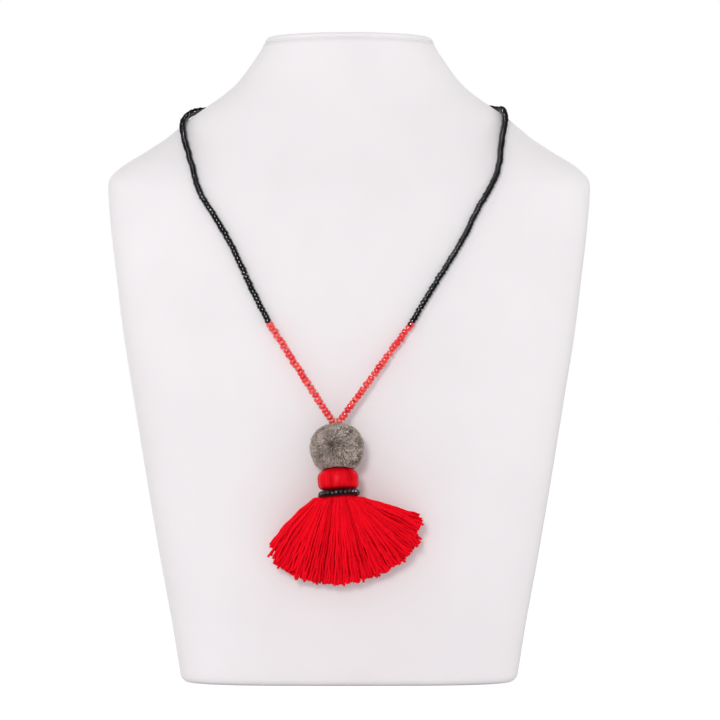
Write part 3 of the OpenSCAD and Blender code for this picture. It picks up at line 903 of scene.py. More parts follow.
@dataclass(frozen=True)
class DisplayBust:
    """The bust: a section at every height, and a point at every height and turn round it.

    The rows hold shares of its sizes. Trunk: height, half width, front, back, set back, squareness.
    Collar: height and half width, each from the shoulders' to the neck's.
    """

    height: float = 296 * MM
    shoulder_height: float = 226 * MM
    shoulder_width: float = 222 * MM
    base_width: float = 154 * MM
    neck_width: float = 76 * MM
    neck_set: float = 14 * MM
    chest: float = 50 * MM
    back: float = 46 * MM
    base_edge: float = 3 * MM
    rim_edge: float = 1.5 * MM
    trunk: tuple[tuple[float, ...], ...] = (
        (0.00, 0.00, 0.90, 0.86, 0.00, 3.20),
        (0.12, 0.13, 0.94, 0.87, 0.00, 3.10),
        (0.26, 0.30, 0.98, 0.89, 0.00, 3.00),
        (0.42, 0.48, 1.00, 0.91, 0.00, 2.90),
        (0.57, 0.64, 1.01, 0.93, 0.02, 2.80),
        (0.70, 0.78, 0.99, 0.96, 0.08, 2.75),
        (0.82, 0.88, 0.93, 0.99, 0.18, 2.70),
        (0.92, 0.96, 0.83, 1.03, 0.30, 2.65),
        (1.00, 1.00, 0.73, 1.06, 0.42, 2.60),
    )
    collar: tuple[tuple[float, float], ...] = (
        (0.06, 0.990), (0.11, 0.950), (0.16, 0.890), (0.21, 0.810), (0.27, 0.720),
        (0.33, 0.635), (0.40, 0.555), (0.47, 0.475), (0.54, 0.380), (0.61, 0.285),
        (0.68, 0.205), (0.76, 0.140), (0.85, 0.080), (0.93, 0.030), (1.00, 0.000),
    )
    collar_ease: float = 2.2
    neck_square: float = 2.0
    cap_seam: float = 1.0 * MM
    seam_width: float = 0.7 * MM
    seam_depth: float = 0.5 * MM
    sides: int = 176
    ring_step: float = 2.0 * MM
    turn_step: float = math.radians(0.5)
    rise_step: float = 0.5 * MM
    edge_steps: int = 6

    @cached_property
    def sections(self) -> np.ndarray:
        """Works out the bust's sections from its sizes.

        Returns:
            Rows of height, half width, front, back, set back and squareness, from the base to the rim.
        """
        rows = [
            (high * self.shoulder_height, mix(self.base_width, self.shoulder_width, wide) / 2,
             front * self.chest, back * self.back, set_back * self.neck_set, square)
            for high, wide, front, back, set_back, square in self.trunk
        ]
        shoulder = rows[-1]
        for high, wide in self.collar:
            ease = (1 - high) ** self.collar_ease
            rows.append((
                self.rise(high),
                mix(self.neck_width, self.shoulder_width, wide) / 2,
                mix(self.neck_width / 2 - self.neck_set, shoulder[2], ease),
                mix(self.neck_width / 2 + self.neck_set, shoulder[3], ease),
                mix(self.neck_set, shoulder[4], ease),
                mix(self.neck_square, shoulder[5], ease),
            ))
        return np.array(rows)

    @cached_property
    def slopes(self) -> np.ndarray:
        """Works out how fast the sections change with height.

        Returns:
            The slope of each column of the sections, at each row.
        """
        rows = self.sections
        ahead = np.minimum(np.arange(len(rows)) + 1, len(rows) - 1)
        behind = np.maximum(np.arange(len(rows)) - 1, 0)
        return (rows[ahead] - rows[behind]) / (rows[ahead] - rows[behind])[:, :1]

    def rise(self, share: float) -> float:
        """The height that lies a share of the way from the shoulders to the rim."""
        return mix(self.shoulder_height, self.height, share)

    def section(self, z: float) -> np.ndarray:
        """Reads the section at a height off a smooth curve through the rows.

        Args:
            z: the height.

        Returns:
            Height, half width, front, back, set back and squareness.
        """
        rows, slopes = self.sections, self.slopes
        i = min(max(int(np.searchsorted(rows[:, 0], z, side="right")) - 1, 0), len(rows) - 2)
        step = rows[i + 1, 0] - rows[i, 0]
        s = (z - rows[i, 0]) / step
        return (rows[i] * (2 * s ** 3 - 3 * s ** 2 + 1) + slopes[i] * step * (s ** 3 - 2 * s ** 2 + s)
                + rows[i + 1] * (3 * s ** 2 - 2 * s ** 3) + slopes[i + 1] * step * (s ** 3 - s ** 2))

    @staticmethod
    def inset(away: float, radius: float) -> float:
        """How far a rounded edge pulls a section in, at a distance from the end that it rounds."""
        return 0.0 if away >= radius else radius - math.sqrt(max(0.0, radius ** 2 - (radius - away) ** 2))

    def point(self, z: float, turn: float) -> np.ndarray:
        """Finds a point of the bust.

        Args:
            z: its height.
            turn: its turn round the bust: 0 at the front, a quarter turn at the right side.

        Returns:
            The point.
        """
        _, half, front, back, set_back, square = self.section(z)
        inset = self.inset(z, self.base_edge) + self.inset(self.height - z, self.rim_edge)
        across, ahead = math.sin(turn), math.cos(turn)
        reach = (abs(across) ** square + abs(ahead) ** square) ** (-1 / square)
        depth = (set_back + front if ahead > 0 else back - set_back) - inset
        return np.array([(half - inset) * across * reach, set_back - depth * ahead * reach, z])

    def normal(self, z: float, turn: float) -> np.ndarray:
        """Finds the direction straight out of the bust.

        Args:
            z: the height.
            turn: the turn round the bust.

        Returns:
            The direction.
        """
        round_it = self.point(z, turn + self.turn_step) - self.point(z, turn - self.turn_step)
        up_it = self.point(z + self.rise_step, turn) - self.point(z - self.rise_step, turn)
        return unit(np.cross(round_it, up_it))

    def chest_y(self, x: float, z: float) -> float:
        """How far forward the front of the chest stands, at a place seen from the front."""
        _, half, front, _, set_back, square = self.section(z)
        return set_back - (set_back + front) * (1 - (abs(x) / half) ** square) ** (1 / square)

    def build(self) -> bpy.types.Object:
        """Builds the covered bust.

        Returns:
            The piece that stands for the plain bust.
        """
        edge = np.linspace(0, math.pi / 2, self.edge_steps)
        low = self.base_edge * (1 - np.cos(edge))
        high = self.height - self.rim_edge * (1 - np.cos(edge[::-1]))
        seam = high[0] - self.cap_seam + self.seam_width * np.array([-0.5, -0.3, 0.3, 0.5])
        steps = int((seam[0] - low[-1]) / self.ring_step)
        levels = np.concatenate([low, np.linspace(low[-1], seam[0], steps + 1)[1:-1], seam, high])
        dents = np.where((levels > seam[0]) & (levels < seam[-1]), self.seam_depth, 0.0)
        turns = turns_round(self.sides)
        rings = np.array([[self.point(z, turn) - self.normal(z, turn) * dent if dent else self.point(z, turn)
                           for turn in turns] for z, dent in zip(levels, dents)])
        return dressed(lathed("leatherette_bust", rings, BUST_COVER), "bust_leatherette", "display_bust")


# Layout of the strings and the pendant


@dataclass(frozen=True)
class Layout:
    """Where the strings and the pendant lie, worked out on the bust.

    Route rows: level as a share of the way from the pendant's up to the crest's; turn round the bust
    on the left and on the right, in degrees from the front; lift off the bust as a share of the
    pendant's.
    """

    bust: DisplayBust
    bead: float = 2.7 * MM
    pendant_level: float = 118.6 * MM
    pendant_x: float = -5.7 * MM
    turn_radius: float = 2.3 * MM
    clasp_length: float = 9 * MM
    clasp_width: float = 4 * MM
    pompom_width: float = 24 * MM
    pompom_height: float = 23 * MM
    pompom_rise: float = 0.8 * MM
    head_width: float = 18.6 * MM
    head_height: float = 11 * MM
    head_seat: float = 3 * MM
    dome_square: float = 2.1
    foot_square: float = 4.5
    ring_width: float = 18.4 * MM
    ring_reach_limit: float = 0.95
    lean: float = math.radians(2.5)
    pitch: float = math.radians(6.5)
    ring_tip: float = math.radians(2.0)
    lie_gap: float = 0.4 * MM
    fit_gap: float = 0.3 * MM
    crest_rise: float = 0.49
    nape_rise: float = 0.60
    string_steps: int = 14
    leg_points: int = 24
    arc_points: int = 8
    # The ball round the coral string's turn that the pompom's pile keeps out of: height and radius
    turn_over: float = 1 * MM
    turn_room: float = 2.6 * MM
    route: tuple[tuple[float, float, float, float], ...] = (
        (1.048, 154.0, 153.0, 0.00),
        (1.032, 134.0, 131.0, 0.00),
        (1.012, 114.0, 104.0, 0.00),
        (0.994, 90.0, 76.0, 0.00),
        (0.925, 60.5, 53.5, 0.00),
        (0.825, 39.5, 37.5, 0.00),
        (0.700, 33.0, 30.5, 0.00),
        (0.570, 27.5, 26.0, 0.00),
        (0.440, 23.5, 20.5, 0.01),
        (0.310, 19.0, 15.0, 0.09),
    )

    @cached_property
    def pompom_z(self) -> float:
        """The pompom's centre along the pendant's axis."""
        return self.pompom_rise - self.pompom_height / 2

    @cached_property
    def hang(self) -> np.ndarray:
        """Works out where the pendant hangs, with its pompom just clear of the chest.

        Returns:
            The lowest point of the coral string's centre line.
        """
        front = self.bust.chest_y(self.pendant_x, self.pendant_level + self.pompom_z)
        ahead = self.lie_gap + self.pompom_width / 2 + self.pompom_z * math.sin(self.pitch)
        return np.array([self.pendant_x, front - ahead, self.pendant_level])

    @cached_property
    def head_z(self) -> float:
        """The head's centre along the pendant's axis."""
        return self.pompom_rise - self.pompom_height + self.head_seat - self.head_height / 2

    @cached_property
    def ring_radius(self) -> float:
        """The radius of the bead ring's centre line."""
        return (self.ring_width - self.bead) / 2

    @cached_property
    def ring_sway(self) -> float:
        """How far the tipped ring reaches above and below its middle."""
        return self.ring_radius * math.sin(abs(self.ring_tip))

    @cached_property
    def ring_z(self) -> float:
        """Works out where the bead ring fits, just under the head.

        Returns:
            Its centre along the pendant's axis.
        """
        reach = min(self.ring_radius / (self.head_width / 2), self.ring_reach_limit)
        rest = 1 - reach ** self.foot_square
        deep = self.head_height / 2 * rest ** (1 / self.foot_square)
        slope = (self.head_height / self.head_width * reach ** (self.foot_square - 1)
                 * rest ** (1 / self.foot_square - 1))
        below = (self.bead / 2 + self.fit_gap) * math.sqrt(1 + slope ** 2)
        return self.head_z - deep - below - self.ring_sway

    @cached_property
    def root_z(self) -> float:
        """Where the ring's underside is, along the pendant's axis."""
        return self.ring_z - self.ring_sway - self.bead / 2 - self.fit_gap

    def head_outline(self, lift: float) -> tuple[float, float]:
        """Reads the head's outline: a dome above and a squarer foot below.

        Args:
            lift: from a quarter turn down, at its foot, to a quarter turn up, at its top.

        Returns:
            The distance from its axis and the height over its centre.
        """
        power = 2 / (self.foot_square if lift < 0 else self.dome_square)
        out = self.head_width / 2 * math.cos(lift) ** power
        return out, math.copysign(self.head_height / 2 * abs(math.sin(lift)) ** power, lift)

    def hung(self, local: np.ndarray) -> np.ndarray:
        """Turns points on the pendant's own axes into points in the frame.

        Args:
            local: one point or rows of points, from the point that the pendant hangs from.

        Returns:
            The same points in the frame.
        """
        across, up = math.sin(self.lean), math.cos(self.lean)
        ahead, down = math.sin(self.pitch), math.cos(self.pitch)
        axes = np.array([[up, 0, across],
                         [ahead * across, down, -ahead * up],
                         [-down * across, ahead, down * up]])
        return self.hang + np.asarray(local) @ axes

    def route_rows(self, side: Side) -> np.ndarray:
        """Works out one string's route from the shares that it is given in.

        Args:
            side: which string.

        Returns:
            Rows of level, turn and lift, from the clasp to the coral beads.
        """
        nape, crest = self.bust.rise(self.nape_rise), self.bust.rise(self.crest_rise)
        at_clasp = math.pi - math.asin((self.clasp_length / 2 + self.fit_gap) / self.bust.section(nape)[1])
        pick = 1 if side is Side.LEFT else 2
        lift = (self.pompom_width - self.bead) / 2
        rows = [(nape, side.value * at_clasp, 0.0)]
        rows += [(mix(self.pendant_level, crest, row[0]), side.value * math.radians(row[pick]), row[3] * lift)
                 for row in self.route]
        return np.array(rows)

    def route_point(self, side: Side, place: float) -> np.ndarray:
        """Finds a point of a string's centre line.

        Args:
            side: which string.
            place: how far along it, counted in rows.

        Returns:
            The point.
        """
        rows = self.route_rows(side)
        i = max(0, min(math.floor(place), len(rows) - 2))
        f = place - i
        a, b, c, d = rows[max(i - 1, 0)], rows[i], rows[i + 1], rows[min(i + 2, len(rows) - 1)]
        level, turn, lift = b + (c - a + (2 * a - 5 * b + 4 * c - d + (3 * (b - c) + d - a) * f) * f) * f / 2
        clear = self.bead / 2 + self.lie_gap + lift
        return self.bust.point(level, turn) + self.bust.normal(level, turn) * clear

    def string_line(self, side: Side) -> np.ndarray:
        """A black string's centre line, with string_steps points for each row of the route."""
        last = len(self.route) * self.string_steps
        return np.array([self.route_point(side, i / self.string_steps) for i in range(last + 1)])

    def coral_line(self) -> np.ndarray:
        """Works out the coral string's centre line: two legs into one round turn.

        Returns:
            Its points, from the left black string to the right one.
        """
        centre = self.hang + np.array([0, 0, self.turn_radius])
        line = []
        for side in Side:
            join = self.route_point(side, len(self.route))
            across, up = abs(centre[0] - join[0]), abs(centre[2] - join[2])
            lean = math.atan2(across, up) - math.asin(self.turn_radius / math.hypot(across, up))
            first = -math.pi / 2 + side.value * (math.pi / 2 - lean)
            arc = np.linspace(first, -math.pi / 2, self.arc_points)
            turn = [centre + self.turn_radius * np.array([math.cos(a), 0, math.sin(a)]) for a in arc]
            leg = [join + (turn[0] - join) * share for share in np.linspace(0, 1, self.leg_points)[:-1]]
            half = leg + turn
            line += half if side is Side.LEFT else half[-2::-1]
        return np.array(line)

    def clear_of_neighbours(self, local: np.ndarray, gap: float) -> np.ndarray:
        """Pushes a point of the pompom's pile out of the head below and the string's turn above.

        Args:
            local: the point, on the pendant's own axes.
            gap: how far clear it stays.

        Returns:
            The point, moved if it lay inside.
        """
        for centre, half_width, half_height, square in (
            (self.head_z, self.head_width / 2 + gap, self.head_height / 2 + gap, self.dome_square),
            (self.turn_over, self.turn_room + gap, self.turn_room + gap, 2.0),
        ):
            middle = np.array([0, 0, centre])
            wide = math.hypot(local[0], local[1]) / half_width
            high = abs(local[2] - centre) / half_height
            depth = (wide ** square + high ** square) ** (1 / square)
            if 0 < depth < 1:
                local = middle + (local - middle) / depth
        return local


# Strings


@dataclass(frozen=True)
class BeadStrings:
    """The necklace's strings of seed beads and the ring round the tassel's neck.

    Edge: a bead's rounding as a share of its wall. Fill: its length as a share of the pitch.
    """

    layout: Layout
    stringing: BeadStringing
    black_pitch: float = 1.87 * MM
    black_width: float = 3.05 * MM
    coral_pitch: float = 2.0 * MM
    coral_width: float = 3.4 * MM
    ring_pitch: float = 1.95 * MM
    ring_width: float = 3.2 * MM
    edge: float = 0.48
    fill: float = 0.93
    hole: float = 0.8 * MM
    thread: float = 0.5 * MM
    stagger: float = 0.16 * MM
    tilt: float = 0.12
    size_spread: float = 0.04
    tone_spread: float = 0.8
    coral_unruly: float = 1.5
    ring_unruly: float = 0.35
    ring_points: int = 96
    black_seed: int = 20
    coral_seed: int = 40
    ring_seed: int = 60

    def string(self, name: str, line: np.ndarray, pitch: float, width: float, seed: int,
               glass: Finish = BLACK_GLASS, twine: Finish = BLACK_THREAD, unruly: float = 1.0,
               closed: bool = False) -> bpy.types.Object:
        """Strings beads along a line.

        Args:
            name: the piece's name.
            line: the string's centre line.
            pitch: the distance from bead to bead.
            width: a bead's width.
            seed: what sets how they differ.
            glass: the beads' finish.
            twine: the thread's finish.
            unruly: how much they differ and stand out of line, as a multiple of the black ones'.
            closed: whether the line is a ring.

        Returns:
            The piece.
        """
        guides = StrandGuides()
        guides.add(line, np.full(len(line), self.thread / 2), closed=closed)
        return self.stringing.run(
            guides.object(name), Bead_Width=width, Bead_Length=pitch * self.fill,
            Edge=self.edge * (width - self.hole) / 2, Hole=self.hole, Pitch=pitch, Thread=self.thread,
            Stagger=self.stagger * unruly, Tilt=self.tilt * unruly, Size_Spread=self.size_spread * unruly,
            Tone_Spread=self.tone_spread, Seed=seed, Bead_Material=glass.material(),
            Thread_Material=twine.material())

    def build(self) -> list[bpy.types.Object]:
        """Builds the two black strings, the coral one and the ring.

        Returns:
            The pieces.
        """
        layout = self.layout
        pieces = []
        for side in Side:
            name = f"black_beads_{side.name.lower()}"
            line = layout.string_line(side)
            made = self.string(name, line, self.black_pitch, self.black_width, self.black_seed + side.value)
            pieces.append(dressed(made, "black_beads", f"black_string_{side.name.lower()}"))
        made = self.string("coral_beads", layout.coral_line(), self.coral_pitch, self.coral_width,
                           self.coral_seed, CORAL_GLASS, CORAL_THREAD, self.coral_unruly)
        pieces.append(dressed(made, "coral_beads", "coral_string"))
        turns = np.linspace(0, 2 * math.pi, self.ring_points, endpoint=False)
        x, y = layout.ring_radius * np.cos(turns), layout.ring_radius * np.sin(turns)
        tip = layout.ring_tip
        ring = layout.hung(np.stack([x * math.cos(tip), y, layout.ring_z + x * math.sin(tip)], axis=1))
        made = self.string("neck_ring_beads", ring, self.ring_pitch, self.ring_width, self.ring_seed,
                           unruly=self.ring_unruly, closed=True)
        pieces.append(dressed(made, "black_beads", "neck_bead_ring"))
        return pieces


@dataclass(frozen=True)
class BarrelClasp:
    """The hidden clasp: a turned barrel that unscrews in the middle, fluted at both ends for the grip."""

    layout: Layout
    flutes: int = 20
    flute_depth: float = 0.16 * MM
    columns: int = 120
    # Columns: distance from the middle as a share of half the length; radius as a share of the
    # barrel's; whether the place is fluted
    outline: tuple[tuple[float, float, int], ...] = (
        (-1.0, 0.30, 0), (-1.0, 0.62, 0), (-0.95, 0.74, 0), (-0.88, 0.86, 0), (-0.84, 1.0, 0),
        (-0.80, 1.0, 1), (-0.34, 1.0, 1), (-0.30, 1.0, 0), (-0.08, 1.0, 0), (-0.05, 0.86, 0),
    )

    def build(self) -> bpy.types.Object:
        """Builds the barrel across the nape.

        Returns:
            The piece that stands for the plain clasp.
        """
        layout, bust = self.layout, self.layout.bust
        nape = bust.rise(layout.nape_rise)
        r, half = layout.clasp_width / 2, layout.clasp_length / 2
        centre = bust.point(nape, math.pi) + bust.normal(nape, math.pi) * (r + layout.lie_gap)
        rows = list(self.outline) + [(-along, wide, cut) for along, wide, cut in reversed(self.outline)]
        turns = turns_round(self.columns)
        rings = []
        for along, wide, cut in rows:
            radius = r * wide - self.flute_depth * cut * (0.5 - 0.5 * np.cos(turns * self.flutes))
            rings.append(np.stack([np.full(self.columns, along * half), radius * np.cos(turns),
                                   radius * np.sin(turns)], axis=1) + centre)
        return dressed(lathed("barrel_clasp", np.array(rings), CLASP_BRASS), "clasp_brass", "clasp")


# Pendant


@dataclass(frozen=True)
class HangingThread:
    """The beige cotton that carries the pendant: two plies in a loop round the coral string.

    Girths are shares of the thread's width. Wrap spread: how far the knot's wraps spread up and down,
    as a share of how far they stand out.
    """

    layout: Layout
    sweep: StrandSweep
    thread: float = 0.8 * MM
    knot: float = 2.2 * MM
    pitch: float = 1.6 * MM
    ply_tones: tuple[float, ...] = (0.35, 0.75)
    ply_girth: float = 0.26
    wrap_girth: float = 0.4
    wraps: int = 3
    wrap_spread: float = 0.6
    loop_points: int = 72
    stem_points: int = 160
    wrap_points: int = 60

    def plied(self, line: np.ndarray, guides: StrandGuides) -> None:
        """Lays the plies round a centre line.

        Args:
            line: the thread's centre line, in the frame.
            guides: what gets the plies' lines.
        """
        way = np.gradient(line, axis=0)
        way /= np.linalg.norm(way, axis=1)[:, None]
        steps = np.linalg.norm(np.diff(line, axis=0), axis=1)
        length = np.concatenate([[0], np.cumsum(steps)])
        out = np.tile([1.0, 0.0, 0.0], (len(line), 1))
        out = np.where(np.abs(way @ [1.0, 0.0, 0.0])[:, None] > 0.9, [0.0, 1.0, 0.0], out)
        across = np.cross(way, out)
        across /= np.linalg.norm(across, axis=1)[:, None]
        through = np.cross(way, across)
        for ply, tone in enumerate(self.ply_tones):
            turn = length * 2 * math.pi / self.pitch + ply * 2 * math.pi / len(self.ply_tones)
            offset = across * np.cos(turn)[:, None] + through * np.sin(turn)[:, None]
            girths = np.full(len(line), self.thread * self.ply_girth)
            guides.add(line + offset * self.thread / 4, girths, tone)

    def build(self) -> bpy.types.Object:
        """Builds the loop, the stem through the pompom and head, and the knot.

        Returns:
            The piece that stands for the plain thread.
        """
        layout, guides = self.layout, StrandGuides()
        loop = layout.bead / 2 + layout.fit_gap + self.thread / 2
        turns = np.linspace(-math.pi / 2, 1.5 * math.pi, self.loop_points)
        ring = np.stack([np.zeros(self.loop_points), loop * np.cos(turns), loop * np.sin(turns)], axis=1)
        self.plied(layout.hung(ring), guides)
        foot = layout.head_z - layout.head_height / 2 + self.knot / 2 + layout.fit_gap
        stem = np.zeros((self.stem_points, 3))
        stem[:, 2] = np.linspace(-loop, foot, self.stem_points)
        self.plied(layout.hung(stem), guides)
        wraps = np.linspace(0, self.wraps * 2 * math.pi, self.wrap_points)
        around = self.knot / 2 - self.thread / 2
        rise = foot + np.linspace(-around, around, self.wrap_points) * self.wrap_spread
        coil = np.stack([around * np.cos(wraps), around * np.sin(wraps), rise], axis=1)
        guides.add(layout.hung(coil), np.full(self.wrap_points, self.thread * self.wrap_girth))
        made = self.sweep.run(guides.object("beige_thread"), Sides=6, Wander=0.0, Wander_Size=1 * MM,
                              Material=BEIGE_THREAD.material())
        return dressed(made, "thread_cotton", "pendant_thread")


@dataclass(frozen=True)
class Pompom:
    """The taupe pompom: curls of sheared pile that lie over in swirls, and fine down over them.

    Shares are of the way from its centre to its outline. Whorl and crease: directions from its centre,
    where the pile parts and where it sinks over the head, and their reaches as distances between
    directions.
    """

    layout: Layout
    sweep: StrandSweep
    curls: int = 5000
    curl_points: int = 7
    curl_girth: float = 0.19 * MM
    curl_lie: float = 2.0 * MM
    curl_wave: float = 0.35 * MM
    hairs: int = 5000
    hair_girth: float = 0.09 * MM
    flyaway: float = 0.04
    root_share: float = 0.84
    top_share: float = 0.98
    outer_share: float = 1.01
    swirl_size: float = 0.4
    swirl_pull: float = 0.8
    # Where in the noise each part of a swirl's direction is read
    swirl_starts: tuple[tuple[float, float, float], ...] = (
        (3.1, 7.7, 1.9), (14.3, 2.6, 9.2), (6.8, 11.5, 17.4),
    )
    whorl: tuple[float, float, float] = (-0.18, -0.97, 0.02)
    whorl_reach: float = 0.45
    whorl_painted_shade: float = 0.28
    parted_pull: float = 0.9
    parted_reach: float = 1.6
    lobe_swell: float = 0.06
    lobe_lift: float = -0.7
    lobe_reach: float = 0.3
    top_sink: float = 0.07
    top_reach: float = 0.3
    crease: tuple[float, float, float] = (-0.05, -0.74, -0.67)
    crease_sink: float = 0.14
    crease_reach: float = 0.5
    crease_room: float = 1.6 * MM
    root_room: float = 0.5 * MM
    strand_room: float = 0.45 * MM
    core_room: float = 0.3 * MM
    core_share: float = 0.88
    core_lumps: float = 0.02
    core_rings: int = 24
    core_sides: int = 48
    root_shake: float = 0.02
    fall: float = 0.1
    parted_sink: float = 0.06
    wave_turns: float = 1.3
    tone: float = 0.58
    smooth_tones: float = 0.2
    ruffled_tones: float = 0.5
    taper: tuple[float, ...] = (0.9, 1.0, 1.0, 1.0, 0.95, 0.8, 0.4)

    @cached_property
    def centre(self) -> np.ndarray:
        """The pompom's centre, on the pendant's own axes."""
        return np.array([0, 0, self.layout.pompom_z])

    @cached_property
    def part(self) -> np.ndarray:
        """The direction of the whorl from the pompom's centre."""
        return unit(np.array(self.whorl))

    @cached_property
    def size(self) -> np.ndarray:
        """The pompom's half sizes."""
        return np.array([self.layout.pompom_width, self.layout.pompom_width, self.layout.pompom_height]) / 2

    def direction(self, i: int, count: int, chance: random.Random) -> np.ndarray:
        """Spreads roots evenly over the ball, each a little shaken.

        Args:
            i: which root.
            count: how many there are.
            chance: what shakes it.

        Returns:
            The root's direction from the pompom's centre.
        """
        lift = 1 - 2 * (i + 0.5) / count
        level = math.sqrt(1 - lift * lift)
        turn = i * TURN_OF_GOLD
        even = np.array([level * math.cos(turn), level * math.sin(turn), lift])
        return unit(even + np.array([chance.gauss(0, self.root_shake) for _ in range(3)]))

    def swirl(self, out: np.ndarray) -> np.ndarray:
        """The way that the pile lies over at a direction: swirls, and away from the whorl.

        Args:
            out: the direction from the pompom's centre.

        Returns:
            A direction across it.
        """
        place = Vector(out) / self.swirl_size
        swirls = [noise.noise(place + Vector(start)) for start in self.swirl_starts]
        away = out - self.part
        near = max(0.0, 1 - np.linalg.norm(away) / self.parted_reach)
        flow = np.array(swirls) * self.swirl_pull + unit(away) * near * self.parted_pull
        flow = flow - np.array([0.0, 0.0, self.fall])
        return unit(flow - out * float(flow @ out))

    def swell(self, out: np.ndarray) -> float:
        """How far the pile stands out at a direction, as a multiple of the ball.

        Args:
            out: the direction from the pompom's centre.

        Returns:
            More than 1 low down at the sides, where the head pushes the pile out, and less on top and
            in the crease over the head.
        """
        near = math.exp(-((out[2] - self.lobe_lift) / self.lobe_reach) ** 2)
        top = math.exp(-((out[2] - 1) / self.top_reach) ** 2)
        lobe = self.lobe_swell * near * min(1.0, max(0.0, 1 - 1.6 * out[1]))
        return 1 + lobe - self.top_sink * top - self.crease_sink * self.creased(out)

    def creased(self, out: np.ndarray) -> float:
        """How far in the crease over the head a direction is, from 0 to 1."""
        return math.exp(-(np.linalg.norm(out - unit(np.array(self.crease))) / self.crease_reach) ** 2)

    def strand(self, out: np.ndarray, chance: random.Random, fine: bool) -> np.ndarray | None:
        """Works out one curl or hair.

        Args:
            out: the direction of its root.
            chance: what sets how it differs.
            fine: whether it is a hair of the down.

        Returns:
            Its points from root to tip, or nothing where the head leaves no room for it.
        """
        layout, size = self.layout, self.size * self.swell(out)
        root = out * size * self.root_share + self.centre
        room = self.root_room + self.crease_room * self.creased(out)
        if np.linalg.norm(layout.clear_of_neighbours(root, room) - root) > 0:
            return None
        lay = self.swirl(out)
        beside = np.cross(out, lay)
        parted = max(0.0, 1 - np.linalg.norm(out - self.part) / (self.whorl_reach * 0.7))
        top = self.top_share - self.parted_sink * parted + chance.uniform(-0.02, 0.012)
        lie = self.curl_lie * chance.uniform(0.6, 1.2)
        wave = self.curl_wave * chance.uniform(0.5, 1.2)
        phase = chance.uniform(0, 2 * math.pi)
        if fine:
            top, wave = top + chance.uniform(0.0, self.flyaway), wave * 0.5
        points = []
        for t in np.linspace(0, 1, self.curl_points):
            rise = mix(self.root_share, top, math.sin(min(1.0, t * (1.0 if fine else 1.5)) * math.pi / 2))
            swing = wave * t * math.sin(2 * math.pi * self.wave_turns * t + phase)
            local = out * size * rise + lay * lie * t * t + beside * swing
            limit = np.linalg.norm(local / size)
            outer = self.outer_share + (self.flyaway if fine else 0.0)
            if limit > outer:
                local = local / limit * outer
            points.append(layout.clear_of_neighbours(local + self.centre, self.strand_room))
        return layout.hung(np.array(points))

    def pile(self, count: int, girth: float, seed: int, fine: bool) -> StrandGuides:
        """Works out the curls or the down.

        Args:
            count: how many roots.
            girth: the strands' radius.
            seed: what sets how they differ.
            fine: whether they are the down.

        Returns:
            Their centre lines.
        """
        chance, guides = random.Random(seed), StrandGuides()
        taper = np.array(self.taper)
        for i in range(count):
            out = self.direction(i, count, chance)
            points = self.strand(out, chance, fine)
            near = max(0.0, 1 - np.linalg.norm(out - self.part) / self.whorl_reach)
            # Flat and even on the left, and ruffled on the right
            right = smooth(min(1.0, max(0.0, out[0] + 0.6)))
            ruffled = mix(self.smooth_tones, self.ruffled_tones, right)
            # Painted shade: curls near the whorl are darker, where the pile parts
            tone = min(1.0, max(0.0, chance.gauss(self.tone, ruffled) - self.whorl_painted_shade * near))
            if points is not None:
                guides.add(points, girth * taper * chance.uniform(0.85, 1.15), tone)
        return guides

    def core(self) -> bpy.types.Object:
        """Builds the skin that the pile grows on, seen only in the depths between curls.

        Returns:
            The piece.
        """
        layout, size = self.layout, self.size
        rings = []
        for lift in np.linspace(-math.pi / 2, math.pi / 2, self.core_rings + 2)[1:-1]:
            level, ring = math.cos(lift), []
            for turn in turns_round(self.core_sides):
                out = np.array([level * math.cos(turn), level * math.sin(turn), math.sin(lift)])
                share = self.core_share * self.swell(out) + self.core_lumps * noise.noise(Vector(out * 4))
                ring.append(layout.clear_of_neighbours(out * size * share + self.centre, self.core_room))
            rings.append(layout.hung(np.array(ring)))
        return lathed("pompom_core", np.array(rings), TAUPE_PILE)

    def build(self) -> list[bpy.types.Object]:
        """Builds the core, the curls and the down.

        Returns:
            The pieces.
        """
        core = self.core()
        curls = self.sweep.run(self.pile(self.curls, self.curl_girth, 7, False).object("pompom_curls"),
                               Sides=3, Wander=0.0, Wander_Size=1 * MM, Material=TAUPE_PILE.material())
        down = self.sweep.run(self.pile(self.hairs, self.hair_girth, 8, True).object("pompom_down"),
                              Sides=3, Wander=0.5 * MM, Wander_Size=1.5 * MM, Material=TAUPE_PILE.material())
        return [dressed(core, "pompom_pile", "pompom"), dressed(curls, "pompom_pile"),
                dressed(down, "pompom_pile")]


